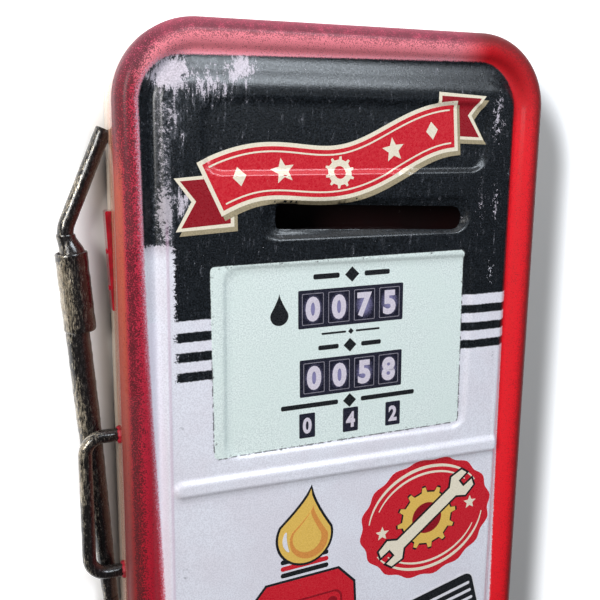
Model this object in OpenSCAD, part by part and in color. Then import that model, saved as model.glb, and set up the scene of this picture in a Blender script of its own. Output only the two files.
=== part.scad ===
// Retro gas pump wall cabinet: a shallow sheet steel drop box with an embossed,
// hinged front, a posting slot, a cam lock and a decorative fuel nozzle on its left side.
// The frame: X to the right, Y into the wall, Z up. The origin is the centre of the
// back face, where it lies on the wall, so everything stands forward at negative Y.

/* [Cabinet] */
// Width over the front's rounded border
front_w = 250; // [230:1:280]
// Height over the front's rounded border
front_h = 560; // [540:1:640]
// Outer radius of the front's four corners
corner_r = 42; // [40:1:48]
// Depth from the wall to the front edge of the side wall
wall_depth = 28; // [26:1:34]
// Thickness of the side wall's sheet
wall_t = 1; // [0.8:0.1:1.2]
// How far the side wall stands in from the front's border
wall_inset = 0.5; // [0.3:0.1:1]
// Width of the lip that is folded inwards round the mouth
lip_w = 12; // [10:1:14]

/* [Front] */
// Thickness of the embossed sheet
sheet_t = 0.8; // [0.6:0.1:1]
// Gap between the side wall and the front
seam_gap = 0.6; // [0.4:0.1:1]
// Radius of the rounded border
bead_r = 8; // [7:0.5:9]
// Height of the flat face above the side wall's front edge
face_rise = 16.5; // [16:0.5:18]

/* [Embossing] */
// Sideways shift of the pressed shapes from the middle of the front
press_shift = 2; // [-2:0.5:4]
// Depth of the recessed name panel and of the recessed window
recess_depth = 1.6; // [1:0.1:2]
// Width of the name panel
name_w = 169; // [150:1:172]
// Height of the name panel
name_h = 37.5; // [34:0.5:38]
// Distance from the top of the front to the middle of the name panel
name_drop = 58.5; // [56:0.5:62]
// Width of the window
window_w = 152; // [140:1:154]
// Height of the window
window_h = 106.5; // [100:0.5:107]
// Distance from the top of the front to the middle of the window
window_drop = 180; // [176:1:186]
// Distance from the top of the front to the middle of the raised rib
rib_drop = 247.5; // [245:0.5:260]
// Length of the raised rib
rib_length = 207; // [180:1:208]
// Width of the raised rib
rib_w = 11; // [9:1:13]
// Height of the raised rib
rib_rise = 1.8; // [1:0.1:2]

/* [Slot] */
// Length of the posting slot
slot_length = 115; // [90:1:118]
// Height of the posting slot
slot_h = 13.5; // [10:0.5:15]
// Centre of the slot across the front
slot_x = 15; // [0:1:18]
// Distance from the top of the front to the middle of the slot
slot_drop = 102.6; // [101:0.2:104]
// Tilt of the punched slot, in degrees
slot_tilt = -2; // [-3:0.5:3]
// Length of the dished recess round the slot
dish_length = 128; // [124:1:130]
// Height of the dished recess
dish_h = 20.5; // [19:0.5:21]
// Depth of the dished recess
dish_depth = 2.4; // [1.5:0.1:3]

/* [Lock] */
// Position of the lock across the front
lock_x = -88; // [-92:1:-84]
// Distance from the top of the front to the lock
lock_drop = 400; // [360:1:440]
// Diameter of the lock's threaded barrel
barrel_d = 15.8; // [15:0.2:16]
// Diameter of the turning plug
plug_d = 10; // [9:0.5:11]
// Running clearance on the plug's radius
plug_gap = 0.05; // [0.03:0.01:0.1]
// Reach of the cam from the lock's axis
cam_reach = 30; // [29:0.5:31]

/* [Hinges] */
// Distance of each hinge's middle above and below the middle of the cabinet
hinge_z = 165; // [120:5:180]
// Length of one hinge
hinge_length = 60; // [40:2:80]
// Outer radius of a knuckle
knuckle_r = 2.5; // [2.3:0.1:3]
// Diameter of a hinge pin
pin_d = 2.4; // [2:0.1:2.6]
// Running clearance on a pin's radius
pin_gap = 0.05; // [0.03:0.01:0.1]
// Thickness of a hinge leaf
leaf_t = 1.2; // [1:0.1:1.4]

/* [Nozzle] */
// Diameter of the spout tube
spout_d = 8.6; // [8:0.2:9]
// Outer diameter of the sleeve
sleeve_d = 17; // [16:0.5:18]
// Length of the sleeve
sleeve_length = 43; // [36:1:50]
// Diameter of the grip at its thick end
grip_d = 12.8; // [12:0.2:13]
// Diameter of the grip's thin end and of the tail rod
tail_d = 8.6; // [8:0.2:9]
// Lean of the nozzle's long axis from upright, in degrees
nozzle_lean = 4.4; // [4:0.1:5]
// Slope of the spout from upright, in degrees
spout_slope = 23; // [21:0.5:25]
// Length of the spout from the bend to its tip
spout_length = 53; // [50:0.5:58]
// Distance of the nozzle's plane from the wall
nozzle_v = 8.7; // [8.6:0.1:9]

/* [Holder] */
// Diameter of the bent holder rod
holder_d = 7.5; // [7:0.5:8]
// Reach of the holder from the side wall
holder_reach = 19; // [17:0.5:22]
// Distance from the top of the front to the holder's upper arm
holder_drop = 220.5; // [215:0.5:225]
// Distance between the holder's two arms
holder_span = 81; // [70:1:90]

/* [Fixing] */
// Distance between the hanging holes, and between the lower screw holes
fixing_pitch = 140; // [100:5:160]
// Distance of the hanging holes above and of the screw holes below the middle
fixing_z = 230; // [200:5:235]
// Diameter of a lower screw hole
screw_hole_d = 4.5; // [4:0.5:5]
// Diameter of a hanging hole's entry
keyhole_d = 9; // [8:0.5:10]

/* [Hidden] */
$fn = 64;

// Outer size and corner radius of the side wall
wall_w = front_w - 2 * wall_inset;
wall_h = front_h - 2 * wall_inset;
wall_r = corner_r - wall_inset;
wall_x = wall_w / 2;

// Distances from the wall, measured forwards
rim_v = wall_depth + seam_gap;
face_v = wall_depth + face_rise;
bead_v = wall_depth + 10;
valley_v = face_v - 3.5;

// The border's profile runs inwards from the front's edge: the fold behind it, the angle
// where its round part ends, the middle of the valley and the crease at the flat face
return_w = 9;
bead_stop = 40;
valley_u = 2 * bead_r + 1;
crease_u = 22.5;
crease_r = corner_r - crease_u - 1;

// Pressed shapes: corner radii, how far a press wall spreads behind the sheet, and the
// extra shift of the window, of the rib and of the dish
recess_r = 11;
window_r = 9;
bend_t = 2;
window_shift = press_shift + 2.5;
rib_shift = press_shift + 0.7;
dish_shift = slot_x - 2;

// Stiffeners behind the lower face
stiffener_w = 14;
stiffener_leg = 6;
stiffener_top = 268;
stiffener_end = 40;
stiffener_left_x = -50;
stiffener_right_x = 60;

// Holes take a margin past the surface that they pass through
eps = 1;

// Hinge axis, and the lengths of the middle knuckle and of the two end knuckles
hinge_x = front_w / 2 + knuckle_r + 0.3;
hinge_v = rim_v + 0.4;
knuckle_mid = 20;
knuckle_gap = 0.4;
knuckle_end = (hinge_length - knuckle_mid) / 2 - knuckle_gap;

// Hinge leaves: the body's leaf stops short of the rim, and tabs carry its knuckles
leaf_depth = 15;
leaf_drop = 1.8;
tab_drop = 0.2;
tab_t = 2;
pin_stub = 0.3;
pin_head_t = 0.8;
pin_head_d = pin_d + 1.4;

// Hinge rivets, placed from the leaf's middle and back from its front edge
rivet_d = 2.5;
rivet_gap = 0.02;
rivet_head_d = 4;
rivet_head_top = 2.6;
rivet_head_t = 0.8;
body_rivet_z = 18;
body_rivet_v = wall_depth - 10;
door_rivet_z = 6;
door_rivet_v = bead_v - 3;

// Boot plate: its distance from the wall, its size, how far it stands out, and its edges
boot_v = 9.5;
boot_w = 9;
boot_top = from_top(98);
boot_h = 54;
boot_proud = 3.2;
boot_foot = 1;
boot_edge = 0.8;

// Lock, from front to back
lock_z = front_h / 2 - lock_drop;
lock_head_d = 20;
lock_head_t = 1.5;
barrel_back_v = wall_depth - 0.8;
cam_t = 1.6;
cam_front_v = barrel_back_v - 0.7;
cam_w = 12;
cam_bore = 5;
cam_screw_d = 8;
cam_screw_t = 1.75;
nut_across = 20;
nut_t = 3;
key_slot = [2.2, 7];
key_depth = 12;

// Nozzle: the bend is where the spout's slope meets the long axis. Lengths run down the
// long axis from the bend.
bend_x = -148;
bend_z = from_top(107);
bend_radius = 16;
sleeve_start = 13;
sleeve_wall = 1.1;
sleeve_shift = -1.6;
grip_straight = 50;
grip_end = 216;
tail_length = 66;

// Block that trims the rods' ends flush with the side wall
trim = [30, 60, 250];

function from_top(drop) = front_h / 2 - drop;

// Points of an arc from angle a to angle b
function arc_points(c, r, a, b, n = 10) =
    [for (i = [0 : n]) c + r * [cos(a + (b - a) * i / n), sin(a + (b - a) * i / n)]];

// Moves the children forward from the wall
module forward(v) { translate([0, -v, 0]) children(); }

// A 2D rectangle with round corners, exact
module round_rect(size, r) {
    square([size.x - 2 * r, size.y], center = true);
    square([size.x, size.y - 2 * r], center = true);
    for (sx = [-1, 1], sy = [-1, 1])
        translate([sx * (size.x / 2 - r), sy * (size.y / 2 - r)]) circle(r);
}

// Stands a 2D shape up in the XZ plane and thickens it forwards
module upright(t) { rotate([90, 0, 0]) linear_extrude(t) children(); }

// Sweeps a profile round an upright rectangle with round corners. In the profile,
// X is the distance inwards from the outline, and Y the distance forward from the wall.
module sweep_round(w, h, r) {
    for (k = [0 : 3]) {
        odd = k % 2;
        length = (odd == 0 ? h : w) - 2 * r;
        reach = (odd == 0 ? w : h) / 2;
        rotate([0, -90 * k, 0])
            translate([0, 0, -length / 2])
                linear_extrude(length)
                    mirror([0, 1]) translate([reach, 0]) mirror([1, 0]) children();
        sx = (k == 0 || k == 3) ? 1 : -1;
        sz = (k < 2) ? 1 : -1;
        translate([sx * (w / 2 - r), 0, sz * (h / 2 - r)])
            rotate([90, 0, 0]) rotate([0, 0, 90 * k])
                rotate_extrude(angle = 90) translate([r, 0]) mirror([1, 0]) children();
    }
}

// ---- Cabinet body ----

// The folded side wall, with a lip turned in round its mouth
module body_shell() {
    color("firebrick") sweep_round(wall_w, wall_h, wall_r)
        polygon([
            [0, 0], [0, wall_depth], [lip_w, wall_depth], [lip_w, wall_depth - wall_t],
            [wall_t, wall_depth - wall_t], [wall_t, 0]
        ]);
}

// The back: a shallow tray, spot welded inside the side wall. Its swept edge has a foot
// that laps over the flat middle.
module back_panel() {
    gap = 0.1;
    w = wall_w - 2 * (wall_t + gap);
    h = wall_h - 2 * (wall_t + gap);
    r = wall_r - wall_t - gap;
    flange = 11;
    foot = 3;
    lap = 2;
    color("darkred") difference() {
        union() {
            sweep_round(w, h, r)
                polygon([[0, 0], [0, flange], [sheet_t, flange], [sheet_t, wall_t],
                    [foot, wall_t], [foot, 0]]);
            upright(wall_t) round_rect([w - 2 * lap, h - 2 * lap], r - lap);
        }
        for (sx = [-1, 1]) {
            translate([sx * fixing_pitch / 2, eps, fixing_z]) keyhole();
            translate([sx * fixing_pitch / 2, eps, -fixing_z])
                rotate([90, 0, 0]) cylinder(d = screw_hole_d, h = wall_t + 2 * eps);
        }
    }
}

// A hanging hole: a round entry with a narrow way up for the screw's shank
module keyhole() {
    rise = 10;
    rotate([90, 0, 0]) {
        cylinder(d = keyhole_d, h = wall_t + 2 * eps);
        translate([0, rise, 0]) cylinder(d = screw_hole_d, h = wall_t + 2 * eps);
        translate([-screw_hole_d / 2, 0, 0]) cube([screw_hole_d, rise, wall_t + 2 * eps]);
    }
}

// The small wedge shaped boot plate on the left side, proud at its top
module side_boot() {
    color("crimson") forward(boot_v + boot_w / 2) translate([-wall_x, 0, boot_top])
        rotate([-90, 0, 0]) linear_extrude(boot_w)
            polygon([[0, 0], [-boot_proud + boot_edge, 0], [-boot_proud, boot_edge],
                [-boot_foot, boot_h - boot_edge], [-boot_foot + boot_edge / 2, boot_h], [0, boot_h]]);
}

// Two low rivet heads on the boot plate's sloping face, a hair clear of it
module boot_rivets() {
    slope = (boot_proud - boot_foot) / (boot_h - 2 * boot_edge);
    clear = 0.02;
    color("darkred") for (drop = [22, 42])
        forward(boot_v)
            translate([-wall_x - boot_proud + (drop - boot_edge) * slope - clear, 0, boot_top - drop])
                rotate([0, -90 - atan(slope), 0]) cylinder(d1 = 3.6, d2 = 2.4, h = 0.6);
}

// ---- Hinges ----

// A hinge knuckle: a short tube on the hinge axis, from z0 upwards
module knuckle(z0, length) {
    translate([hinge_x, -hinge_v, z0]) cylinder(r = knuckle_r, h = length);
}

// The bore that a knuckle keeps clear for its pin
module pin_bore(z0, length) {
    translate([hinge_x, -hinge_v, z0 - eps])
        cylinder(r = pin_d / 2 + pin_gap, h = length + 2 * eps);
}

// The half of a hinge that is riveted to the side wall, with the two end knuckles
module hinge_leaf_body(z) {
    top = hinge_length / 2;
    color("darkred") difference() {
        union() {
            for (z0 = [-top, top - knuckle_end]) {
                knuckle(z + z0, knuckle_end);
                translate([wall_x, -wall_depth + tab_drop, z + z0])
                    cube([hinge_x - wall_x, tab_t, knuckle_end]);
            }
            translate([wall_x, -wall_depth + leaf_drop, z - top])
                cube([leaf_t, leaf_depth, hinge_length]);
        }
        pin_bore(z - top, hinge_length);
        for (s = [-1, 1]) rivet_hole(wall_x, body_rivet_v, z + s * body_rivet_z);
    }
}

// The half that is riveted to the front's side, with the middle knuckle
module hinge_leaf_door(z) {
    bottom = z - knuckle_mid / 2;
    color("darkred") difference() {
        union() {
            knuckle(bottom, knuckle_mid);
            translate([front_w / 2, -bead_v, bottom])
                cube([leaf_t, bead_v - hinge_v + 1, knuckle_mid]);
        }
        pin_bore(bottom, knuckle_mid);
        for (s = [-1, 1]) rivet_hole(front_w / 2, door_rivet_v, z + s * door_rivet_z);
    }
}

// A pin with a small head at each end
module hinge_pin(z) {
    top = hinge_length / 2 + pin_stub;
    color("silver") translate([hinge_x, -hinge_v, z]) {
        translate([0, 0, -top]) cylinder(d = pin_d, h = 2 * top);
        for (z0 = [-top - pin_head_t, top]) translate([0, 0, z0])
            cylinder(d = pin_head_d, h = pin_head_t);
    }
}

// The hole in a hinge leaf for one rivet
module rivet_hole(x, v, z) {
    translate([x - eps, -v, z]) rotate([0, 90, 0])
        cylinder(d = rivet_d + rivet_gap, h = leaf_t + 2 * eps);
}

// A rivet through a hinge leaf, with a low head outside
module hinge_rivet(x, v, z) {
    translate([x, -v, z]) rotate([0, 90, 0]) {
        cylinder(d = rivet_d, h = leaf_t);
        translate([0, 0, leaf_t]) cylinder(d1 = rivet_head_d, d2 = rivet_head_top, h = rivet_head_t);
    }
}

module body_rivets() {
    color("darkred") for (z = [-hinge_z, hinge_z], s = [-1, 1])
        hinge_rivet(wall_x, body_rivet_v, z + s * body_rivet_z);
}

module door_rivets() {
    color("darkred") for (z = [-hinge_z, hinge_z], s = [-1, 1])
        hinge_rivet(front_w / 2, door_rivet_v, z + s * door_rivet_z);
}

// ---- Front ----

// Profile of the border: return fold, side, bead, valley and the rise to the face
function border_side(t) = concat(
    [[return_w, rim_v + t], [t, rim_v + t]],
    arc_points([bead_r, bead_v], bead_r - t, 180, bead_stop, 12),
    [[valley_u - 0.4 * t, valley_v - t], [valley_u + 1 + 0.4 * t, valley_v - t],
     [crease_u + 0.4 * t, face_v - t], [crease_u + 2, face_v - t]]
);
module border_profile() {
    outer = border_side(0);
    inner = border_side(sheet_t);
    polygon(concat(outer, [for (i = [len(inner) - 1 : -1 : 0]) inner[i]]));
}

// A pressed pocket in the face: front is cut away, and the sheet behind steps back
module pocket_front(x, drop, size, r, depth) {
    forward(face_v - depth) translate([x, 0, from_top(drop)]) upright(depth + eps)
        round_rect(size, r);
}
module pocket_back(x, drop, size, r, depth) {
    forward(face_v - depth - sheet_t) translate([x, 0, from_top(drop)]) upright(depth + 0.1)
        round_rect([size.x + 2 * bend_t, size.y + 2 * bend_t], r + bend_t);
}

// The raised rib: a slice of a long round bar with round ends
module rib_bar(inset) {
    bar_r = (pow(rib_w / 2, 2) + pow(rib_rise, 2)) / (2 * rib_rise);
    r = bar_r - inset;
    half = rib_length / 2 - rib_w / 2;
    forward(face_v + rib_rise - bar_r) translate([rib_shift, 0, from_top(rib_drop)]) {
        translate([-half, 0, 0]) rotate([0, 90, 0]) cylinder(r = r, h = 2 * half);
        for (s = [-1, 1]) translate([s * half, 0, 0]) sphere(r);
    }
}

// The part of a rib bar that stands between two distances from the wall
module rib_slice(inset, v, t) {
    intersection() {
        rib_bar(inset);
        forward(v) translate([0, 0, from_top(rib_drop)])
            upright(t) square([rib_length + 2, rib_w + 2], center = true);
    }
}

module slot_hole() {
    translate([slot_x, 0, from_top(slot_drop)]) rotate([0, -slot_tilt, 0])
        forward(wall_depth) upright(face_rise + eps) round_rect([slot_length, slot_h], slot_h / 2 - 0.5);
}

// The pressed pockets, each as its cut from the front or as the sheet behind it
module pockets(front) {
    all = [
        [press_shift, name_drop, [name_w, name_h], recess_r, recess_depth],
        [window_shift, window_drop, [window_w, window_h], window_r, recess_depth],
        [dish_shift, slot_drop, [dish_length, dish_h], dish_h / 2 - 0.5, dish_depth]
    ];
    for (p = all)
        if (front) pocket_front(p[0], p[1], p[2], p[3], p[4]);
        else pocket_back(p[0], p[1], p[2], p[3], p[4]);
}

// The embossed front, from its folded border to its face
module door_skin() {
    face_size = [front_w - 2 * (crease_u + 1), front_h - 2 * (crease_u + 1)];
    color("crimson") difference() {
        union() {
            sweep_round(front_w, front_h, corner_r) border_profile();
            forward(face_v - sheet_t) upright(sheet_t) round_rect(face_size, crease_r);
            pockets(false);
            rib_slice(0, face_v - 0.2, rib_rise + 1);
        }
        rib_slice(sheet_t, face_v - sheet_t - 1, rib_rise + 2);
        pockets(true);
        slot_hole();
        translate([lock_x, -rim_v, lock_z]) rotate([90, 0, 0])
            cylinder(d = barrel_d + 0.2, h = face_rise + eps);
    }
}

// A channel that is spot welded behind the front, upright
module door_stiffener(x) {
    bottom = from_top(front_h - stiffener_end);
    inner = stiffener_w - 2 * sheet_t;
    color("dimgray") translate([x, -(face_v - sheet_t), bottom])
        linear_extrude(from_top(stiffener_top) - bottom) difference() {
            translate([-stiffener_w / 2, 0]) square([stiffener_w, stiffener_leg]);
            translate([-inner / 2, sheet_t]) square([inner, stiffener_leg]);
        }
}

// ---- Lock ----

module lock_barrel() {
    color("silver") translate([lock_x, 0, lock_z]) difference() {
        union() {
            forward(barrel_back_v) rotate([90, 0, 0])
                cylinder(d = barrel_d, h = face_v - barrel_back_v + 0.1);
            forward(face_v) rotate([90, 0, 0]) cylinder(d = lock_head_d, h = lock_head_t);
        }
        forward(barrel_back_v - eps) rotate([90, 0, 0])
            cylinder(r = plug_d / 2 + plug_gap, h = face_rise + lock_head_t + 3 * eps);
    }
}

// A hexagonal nut that clamps the barrel from behind the sheet
module lock_nut() {
    color("silver") translate([lock_x, 0, lock_z]) forward(face_v - sheet_t - nut_t) upright(nut_t)
        difference() {
            circle(d = nut_across / cos(30), $fn = 6);
            circle(d = barrel_d + 0.04);
        }
}

// The turning plug, with the keyway in its face and a square tang for the cam
module lock_plug() {
    front_v = face_v + lock_head_t - 0.3;
    tang = cam_bore - 0.1;
    color("gainsboro") translate([lock_x, 0, lock_z]) difference() {
        union() {
            forward(cam_front_v + 0.1) rotate([90, 0, 0])
                cylinder(d = plug_d, h = front_v - cam_front_v - 0.1);
            forward(cam_front_v - cam_t) upright(cam_t + 0.2) square(tang, center = true);
        }
        forward(front_v - key_depth) upright(key_depth + eps) square(key_slot, center = true);
    }
}

// The cam, pointing down when the lock is open
module lock_cam() {
    color("silver") translate([lock_x, 0, lock_z]) forward(cam_front_v - cam_t) upright(cam_t)
        difference() {
            union() {
                circle(d = cam_w);
                translate([-cam_w / 2 + 1, -cam_reach]) square([cam_w - 2, cam_reach]);
            }
            square(cam_bore, center = true);
        }
}

// The slotted screw that holds the cam on the plug's tang
module lock_cam_screw() {
    slot = [cam_screw_d + eps, 2.2, 1.2];
    back_v = cam_front_v - cam_t - cam_screw_t - 0.05;
    color("silver") translate([lock_x, 0, lock_z]) forward(back_v) difference() {
        rotate([90, 0, 0]) cylinder(d = cam_screw_d, h = cam_screw_t);
        translate([0, 0.5, 0]) cube(slot, center = true);
    }
}

// ---- Nozzle ----

// Puts the children on the nozzle's long axis: their origin at the bend, +Z down the axis
module nozzle_axis() {
    translate([bend_x, -nozzle_v, bend_z]) rotate([0, 180 - nozzle_lean, 0]) children();
}

// The spout: up from the sleeve, round the bend, and on to the side wall
module nozzle_spout() {
    turn = spout_slope + nozzle_lean;
    lead = bend_radius * tan(turn / 2);
    overlap = 1.5;
    color("dimgray") {
        nozzle_axis() translate([0, 0, lead])
            cylinder(d = spout_d, h = sleeve_start + 4 - lead);
        translate([bend_x, -nozzle_v, bend_z])
            rotate([0, -nozzle_lean, 0]) translate([bend_radius, 0, -lead])
                rotate([90, 0, 0]) rotate([0, 0, 180 - turn - overlap])
                    rotate_extrude(angle = turn + 2 * overlap)
                        translate([bend_radius, 0]) circle(d = spout_d - 0.06);
        difference() {
            translate([bend_x, -nozzle_v, bend_z]) rotate([0, spout_slope, 0])
                translate([0, 0, lead]) cylinder(d = spout_d, h = spout_length - lead);
            translate([-wall_x, -trim.y / 2, bend_z + lead]) cube(trim);
        }
    }
}

// The swaged shoulder between the spout and the sleeve
module nozzle_shoulder() {
    lean = -2.4;
    color("dimgray") nozzle_axis() difference() {
        hull() {
            translate([0, 0, 4]) cylinder(d = spout_d + 0.6, h = 1, $fn = 32);
            translate([lean, 0, sleeve_start + 1]) cylinder(d = sleeve_d - 4, h = 2, $fn = 32);
        }
        cylinder(d = spout_d + 0.04, h = sleeve_start + 4);
    }
}

// The sleeve: open at its top and closed at its foot
module nozzle_sleeve() {
    bore_d = sleeve_d - 2 * sleeve_wall;
    color("dimgray") nozzle_axis() translate([sleeve_shift, 0, sleeve_start]) difference() {
        cylinder(d = sleeve_d, h = sleeve_length);
        translate([0, 0, -eps]) cylinder(d = bore_d, h = sleeve_length - sleeve_wall);
    }
}

// The grip: straight below the sleeve, then tapering past the holder
module nozzle_grip() {
    start = sleeve_start + sleeve_length;
    color("dimgray") nozzle_axis() translate([0, 0, start]) {
        cylinder(d = grip_d, h = grip_straight);
        translate([0, 0, grip_straight])
            cylinder(d1 = grip_d, d2 = tail_d, h = grip_end - grip_straight - start);
    }
}

// The tail rod, cut off flush where it meets the side wall
module nozzle_tail() {
    color("dimgray") difference() {
        nozzle_axis() translate([0, 0, grip_end]) cylinder(d = tail_d, h = tail_length);
        translate([-wall_x, -trim.y / 2, bend_z - grip_end - trim.z / 2]) cube(trim);
    }
}

// The bent rod that the nozzle is fixed to
module holder_loop() {
    r = 10;
    x0 = -wall_x - holder_reach;
    z0 = from_top(holder_drop);
    v = nozzle_v + grip_d / 2 + holder_d / 2 + 0.05;
    color("dimgray") forward(v) {
        for (z = [z0, z0 - holder_span]) translate([x0 + r, 0, z]) rotate([0, 90, 0])
            cylinder(d = holder_d, h = holder_reach - r);
        translate([x0, 0, z0 - holder_span + r]) cylinder(d = holder_d, h = holder_span - 2 * r);
        translate([x0 + r, 0, z0 - r]) rotate([90, 0, 0]) rotate([0, 0, 90])
            rotate_extrude(angle = 90) translate([r, 0]) circle(d = holder_d);
        translate([x0 + r, 0, z0 - holder_span + r]) rotate([90, 0, 0]) rotate([0, 0, 180])
            rotate_extrude(angle = 90) translate([r, 0]) circle(d = holder_d);
    }
}

body_shell();
back_panel();
side_boot();
boot_rivets();
hinge_leaf_body(hinge_z);  // hinge_leaf_body_upper
hinge_leaf_body(-hinge_z);  // hinge_leaf_body_lower
hinge_leaf_door(hinge_z);  // hinge_leaf_door_upper
hinge_leaf_door(-hinge_z);  // hinge_leaf_door_lower
hinge_pin(hinge_z);  // hinge_pin_upper
hinge_pin(-hinge_z);  // hinge_pin_lower
body_rivets();
door_rivets();
door_skin();
door_stiffener(stiffener_left_x);  // door_stiffener_left
door_stiffener(stiffener_right_x);  // door_stiffener_right
lock_barrel();
lock_nut();
lock_plug();
lock_cam();
lock_cam_screw();
nozzle_spout();
nozzle_shoulder();
nozzle_sleeve();
nozzle_grip();
nozzle_tail();
holder_loop();
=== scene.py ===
# The looks of a retro gas pump wall cabinet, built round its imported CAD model.
# Shapes are worked out in millimetres: x to the right, v forward from the wall, z up.
import math

import bpy
import numpy as np
from mathutils import Matrix, Vector
from mathutils.geometry import delaunay_2d_cdt


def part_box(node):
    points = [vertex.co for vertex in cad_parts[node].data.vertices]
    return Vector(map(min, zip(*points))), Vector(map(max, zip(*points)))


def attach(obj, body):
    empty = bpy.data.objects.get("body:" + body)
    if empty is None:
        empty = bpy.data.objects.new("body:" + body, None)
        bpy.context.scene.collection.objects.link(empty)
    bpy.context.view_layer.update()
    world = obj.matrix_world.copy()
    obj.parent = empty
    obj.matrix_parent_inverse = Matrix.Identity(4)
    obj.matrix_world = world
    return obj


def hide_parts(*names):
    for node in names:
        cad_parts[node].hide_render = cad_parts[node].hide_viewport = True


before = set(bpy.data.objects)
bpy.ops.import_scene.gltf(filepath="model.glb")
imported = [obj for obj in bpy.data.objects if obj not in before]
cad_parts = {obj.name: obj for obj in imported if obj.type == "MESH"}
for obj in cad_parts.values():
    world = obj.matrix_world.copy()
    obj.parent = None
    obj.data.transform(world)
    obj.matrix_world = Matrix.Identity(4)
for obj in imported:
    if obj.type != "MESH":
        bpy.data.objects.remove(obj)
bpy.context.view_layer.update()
MM = 0.001


# ---- Sizes ----

def node_box(node):
    """A CAD node's lowest and highest corner as (x, v, z) in millimetres."""
    lo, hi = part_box(node)
    return Vector((lo.x, -hi.y, lo.z)) / MM, Vector((hi.x, -lo.y, hi.z)) / MM


skin_lo, skin_hi = node_box("door_skin")
wall_lo, wall_hi = node_box("body_shell")
back_lo, back_hi = node_box("back_panel")
FRONT_W = skin_hi.x - skin_lo.x
FRONT_H = skin_hi.z - skin_lo.z
TOP = skin_hi.z
RIM_V = skin_lo.y
WALL_X = wall_hi.x
WALL_V = wall_hi.y
CORNER_R = 42.0
SHEET = 0.8
BEAD_R = 8.0
BEAD_V = WALL_V + 10
FACE_V = WALL_V + 16.5
VALLEY_V = FACE_V - 3.5
VALLEY_END = 17.6
SIDE_SHOULDER = 5.6
TOP_SHOULDER = 17.0

NAME_PANEL = dict(centre=(2, TOP - 58.5), size=(172, 40.5), radius=12, depth=1.6, wall=3.4)
WINDOW_PRESS = dict(centre=(4.5, TOP - 180), size=(155, 109.5), radius=10, depth=1.5, wall=3.6)
DISH = dict(centre=(13, TOP - 102.4), size=(130, 22.5), radius=11, depth=2.2, wall=4.2)
RIB = dict(centre=(2.7, TOP - 247.3), length=208, width=11.5, rise=1.9)
SLOT = dict(centre=(15, TOP - 102.6), size=(115, 13.5), radii=(3.2, 6.2), tilt=math.radians(-2))
SLOT_LIP = dict(depth=0.9, width=1.8)
LOCK = (-88.0, TOP - 400)
LOCK_R = 8.1


# ---- Meshes ----

def unit(t):
    """t from 0 to 1, eased at both ends."""
    t = np.clip(t, 0, 1)
    return t * t * (3 - 2 * t)


def round_box(x, z, centre, size, radius):
    """Distance from a rectangle with round corners, negative inside."""
    qx = np.abs(x - centre[0]) - (size[0] / 2 - radius)
    qz = np.abs(z - centre[1]) - (size[1] / 2 - radius)
    outside = np.hypot(np.maximum(qx, 0), np.maximum(qz, 0))
    return outside + np.minimum(np.maximum(qx, qz), 0) - radius


def build(name, verts, faces, materials, body, replaces=(), back_faces=(), smooth=40):
    """Makes a piece from points in millimetres. back_faces take the second material."""
    verts = np.asarray(verts, float)
    mesh = bpy.data.meshes.new(name)
    points = np.column_stack([verts[:, 0], -verts[:, 1], verts[:, 2]]) * MM
    mesh.from_pydata(points.tolist(), [], [tuple(f) for f in faces])
    for material in materials:
        mesh.materials.append(material)
    if len(back_faces):
        index = np.zeros(len(mesh.polygons), np.int32)
        index[back_faces] = 1
        mesh.polygons.foreach_set("material_index", index)
    if signed_volume(points, faces) < 0:
        mesh.flip_normals()
    mesh.shade_smooth()
    mesh.set_sharp_from_angle(angle=math.radians(smooth))
    mesh.update()
    piece = bpy.data.objects.new(name, mesh)
    bpy.context.scene.collection.objects.link(piece)
    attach(piece, body)
    if replaces:
        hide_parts(*replaces)
    return piece


def signed_volume(points, faces):
    """Six times the volume that closed faces hold, positive if they face outwards."""
    total, by_size = 0.0, {}
    for f in faces:
        by_size.setdefault(len(f), []).append(f)
    for size, group in by_size.items():
        group = np.asarray(group)
        for k in range(1, size - 1):
            a, b, c = points[group[:, 0]], points[group[:, k]], points[group[:, k + 1]]
            total += np.einsum("ij,ij->", a, np.cross(b, c))
    return total


def shell(front, back, faces):
    """A closed sheet between two copies of the same faces: points, faces, and the back's face numbers."""
    front, back, count = np.asarray(front), np.asarray(back), len(front)
    sides = {(a, b): True for f in faces for a, b in zip(f, [*f[1:], f[0]])}
    rim = [(a, b) for a, b in sides if (b, a) not in sides]
    made = [tuple(f) for f in faces]
    made += [tuple(i + count for i in reversed(f)) for f in faces]
    made += [(b, a, a + count, b + count) for a, b in rim]
    used = np.zeros(2 * count, bool)
    for f in made:
        used[list(f)] = True
    renumber = np.cumsum(used) - 1
    points = np.vstack([front, back])[used]
    made = [tuple(renumber[list(f)].tolist()) for f in made]
    return points, made, np.arange(len(faces), 2 * len(faces))


def graded(start, end, coarse, fine, edges, reach):
    """Grid lines from start to end, close together near the edges."""
    lines = [start]
    while lines[-1] < end:
        near = any(abs(lines[-1] + fine / 2 - e) < reach for e in edges)
        lines.append(lines[-1] + (fine if near else coarse))
    lines[-1] = end
    if lines[-1] - lines[-2] < fine / 2:
        del lines[-2]
    return np.array(lines)


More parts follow.
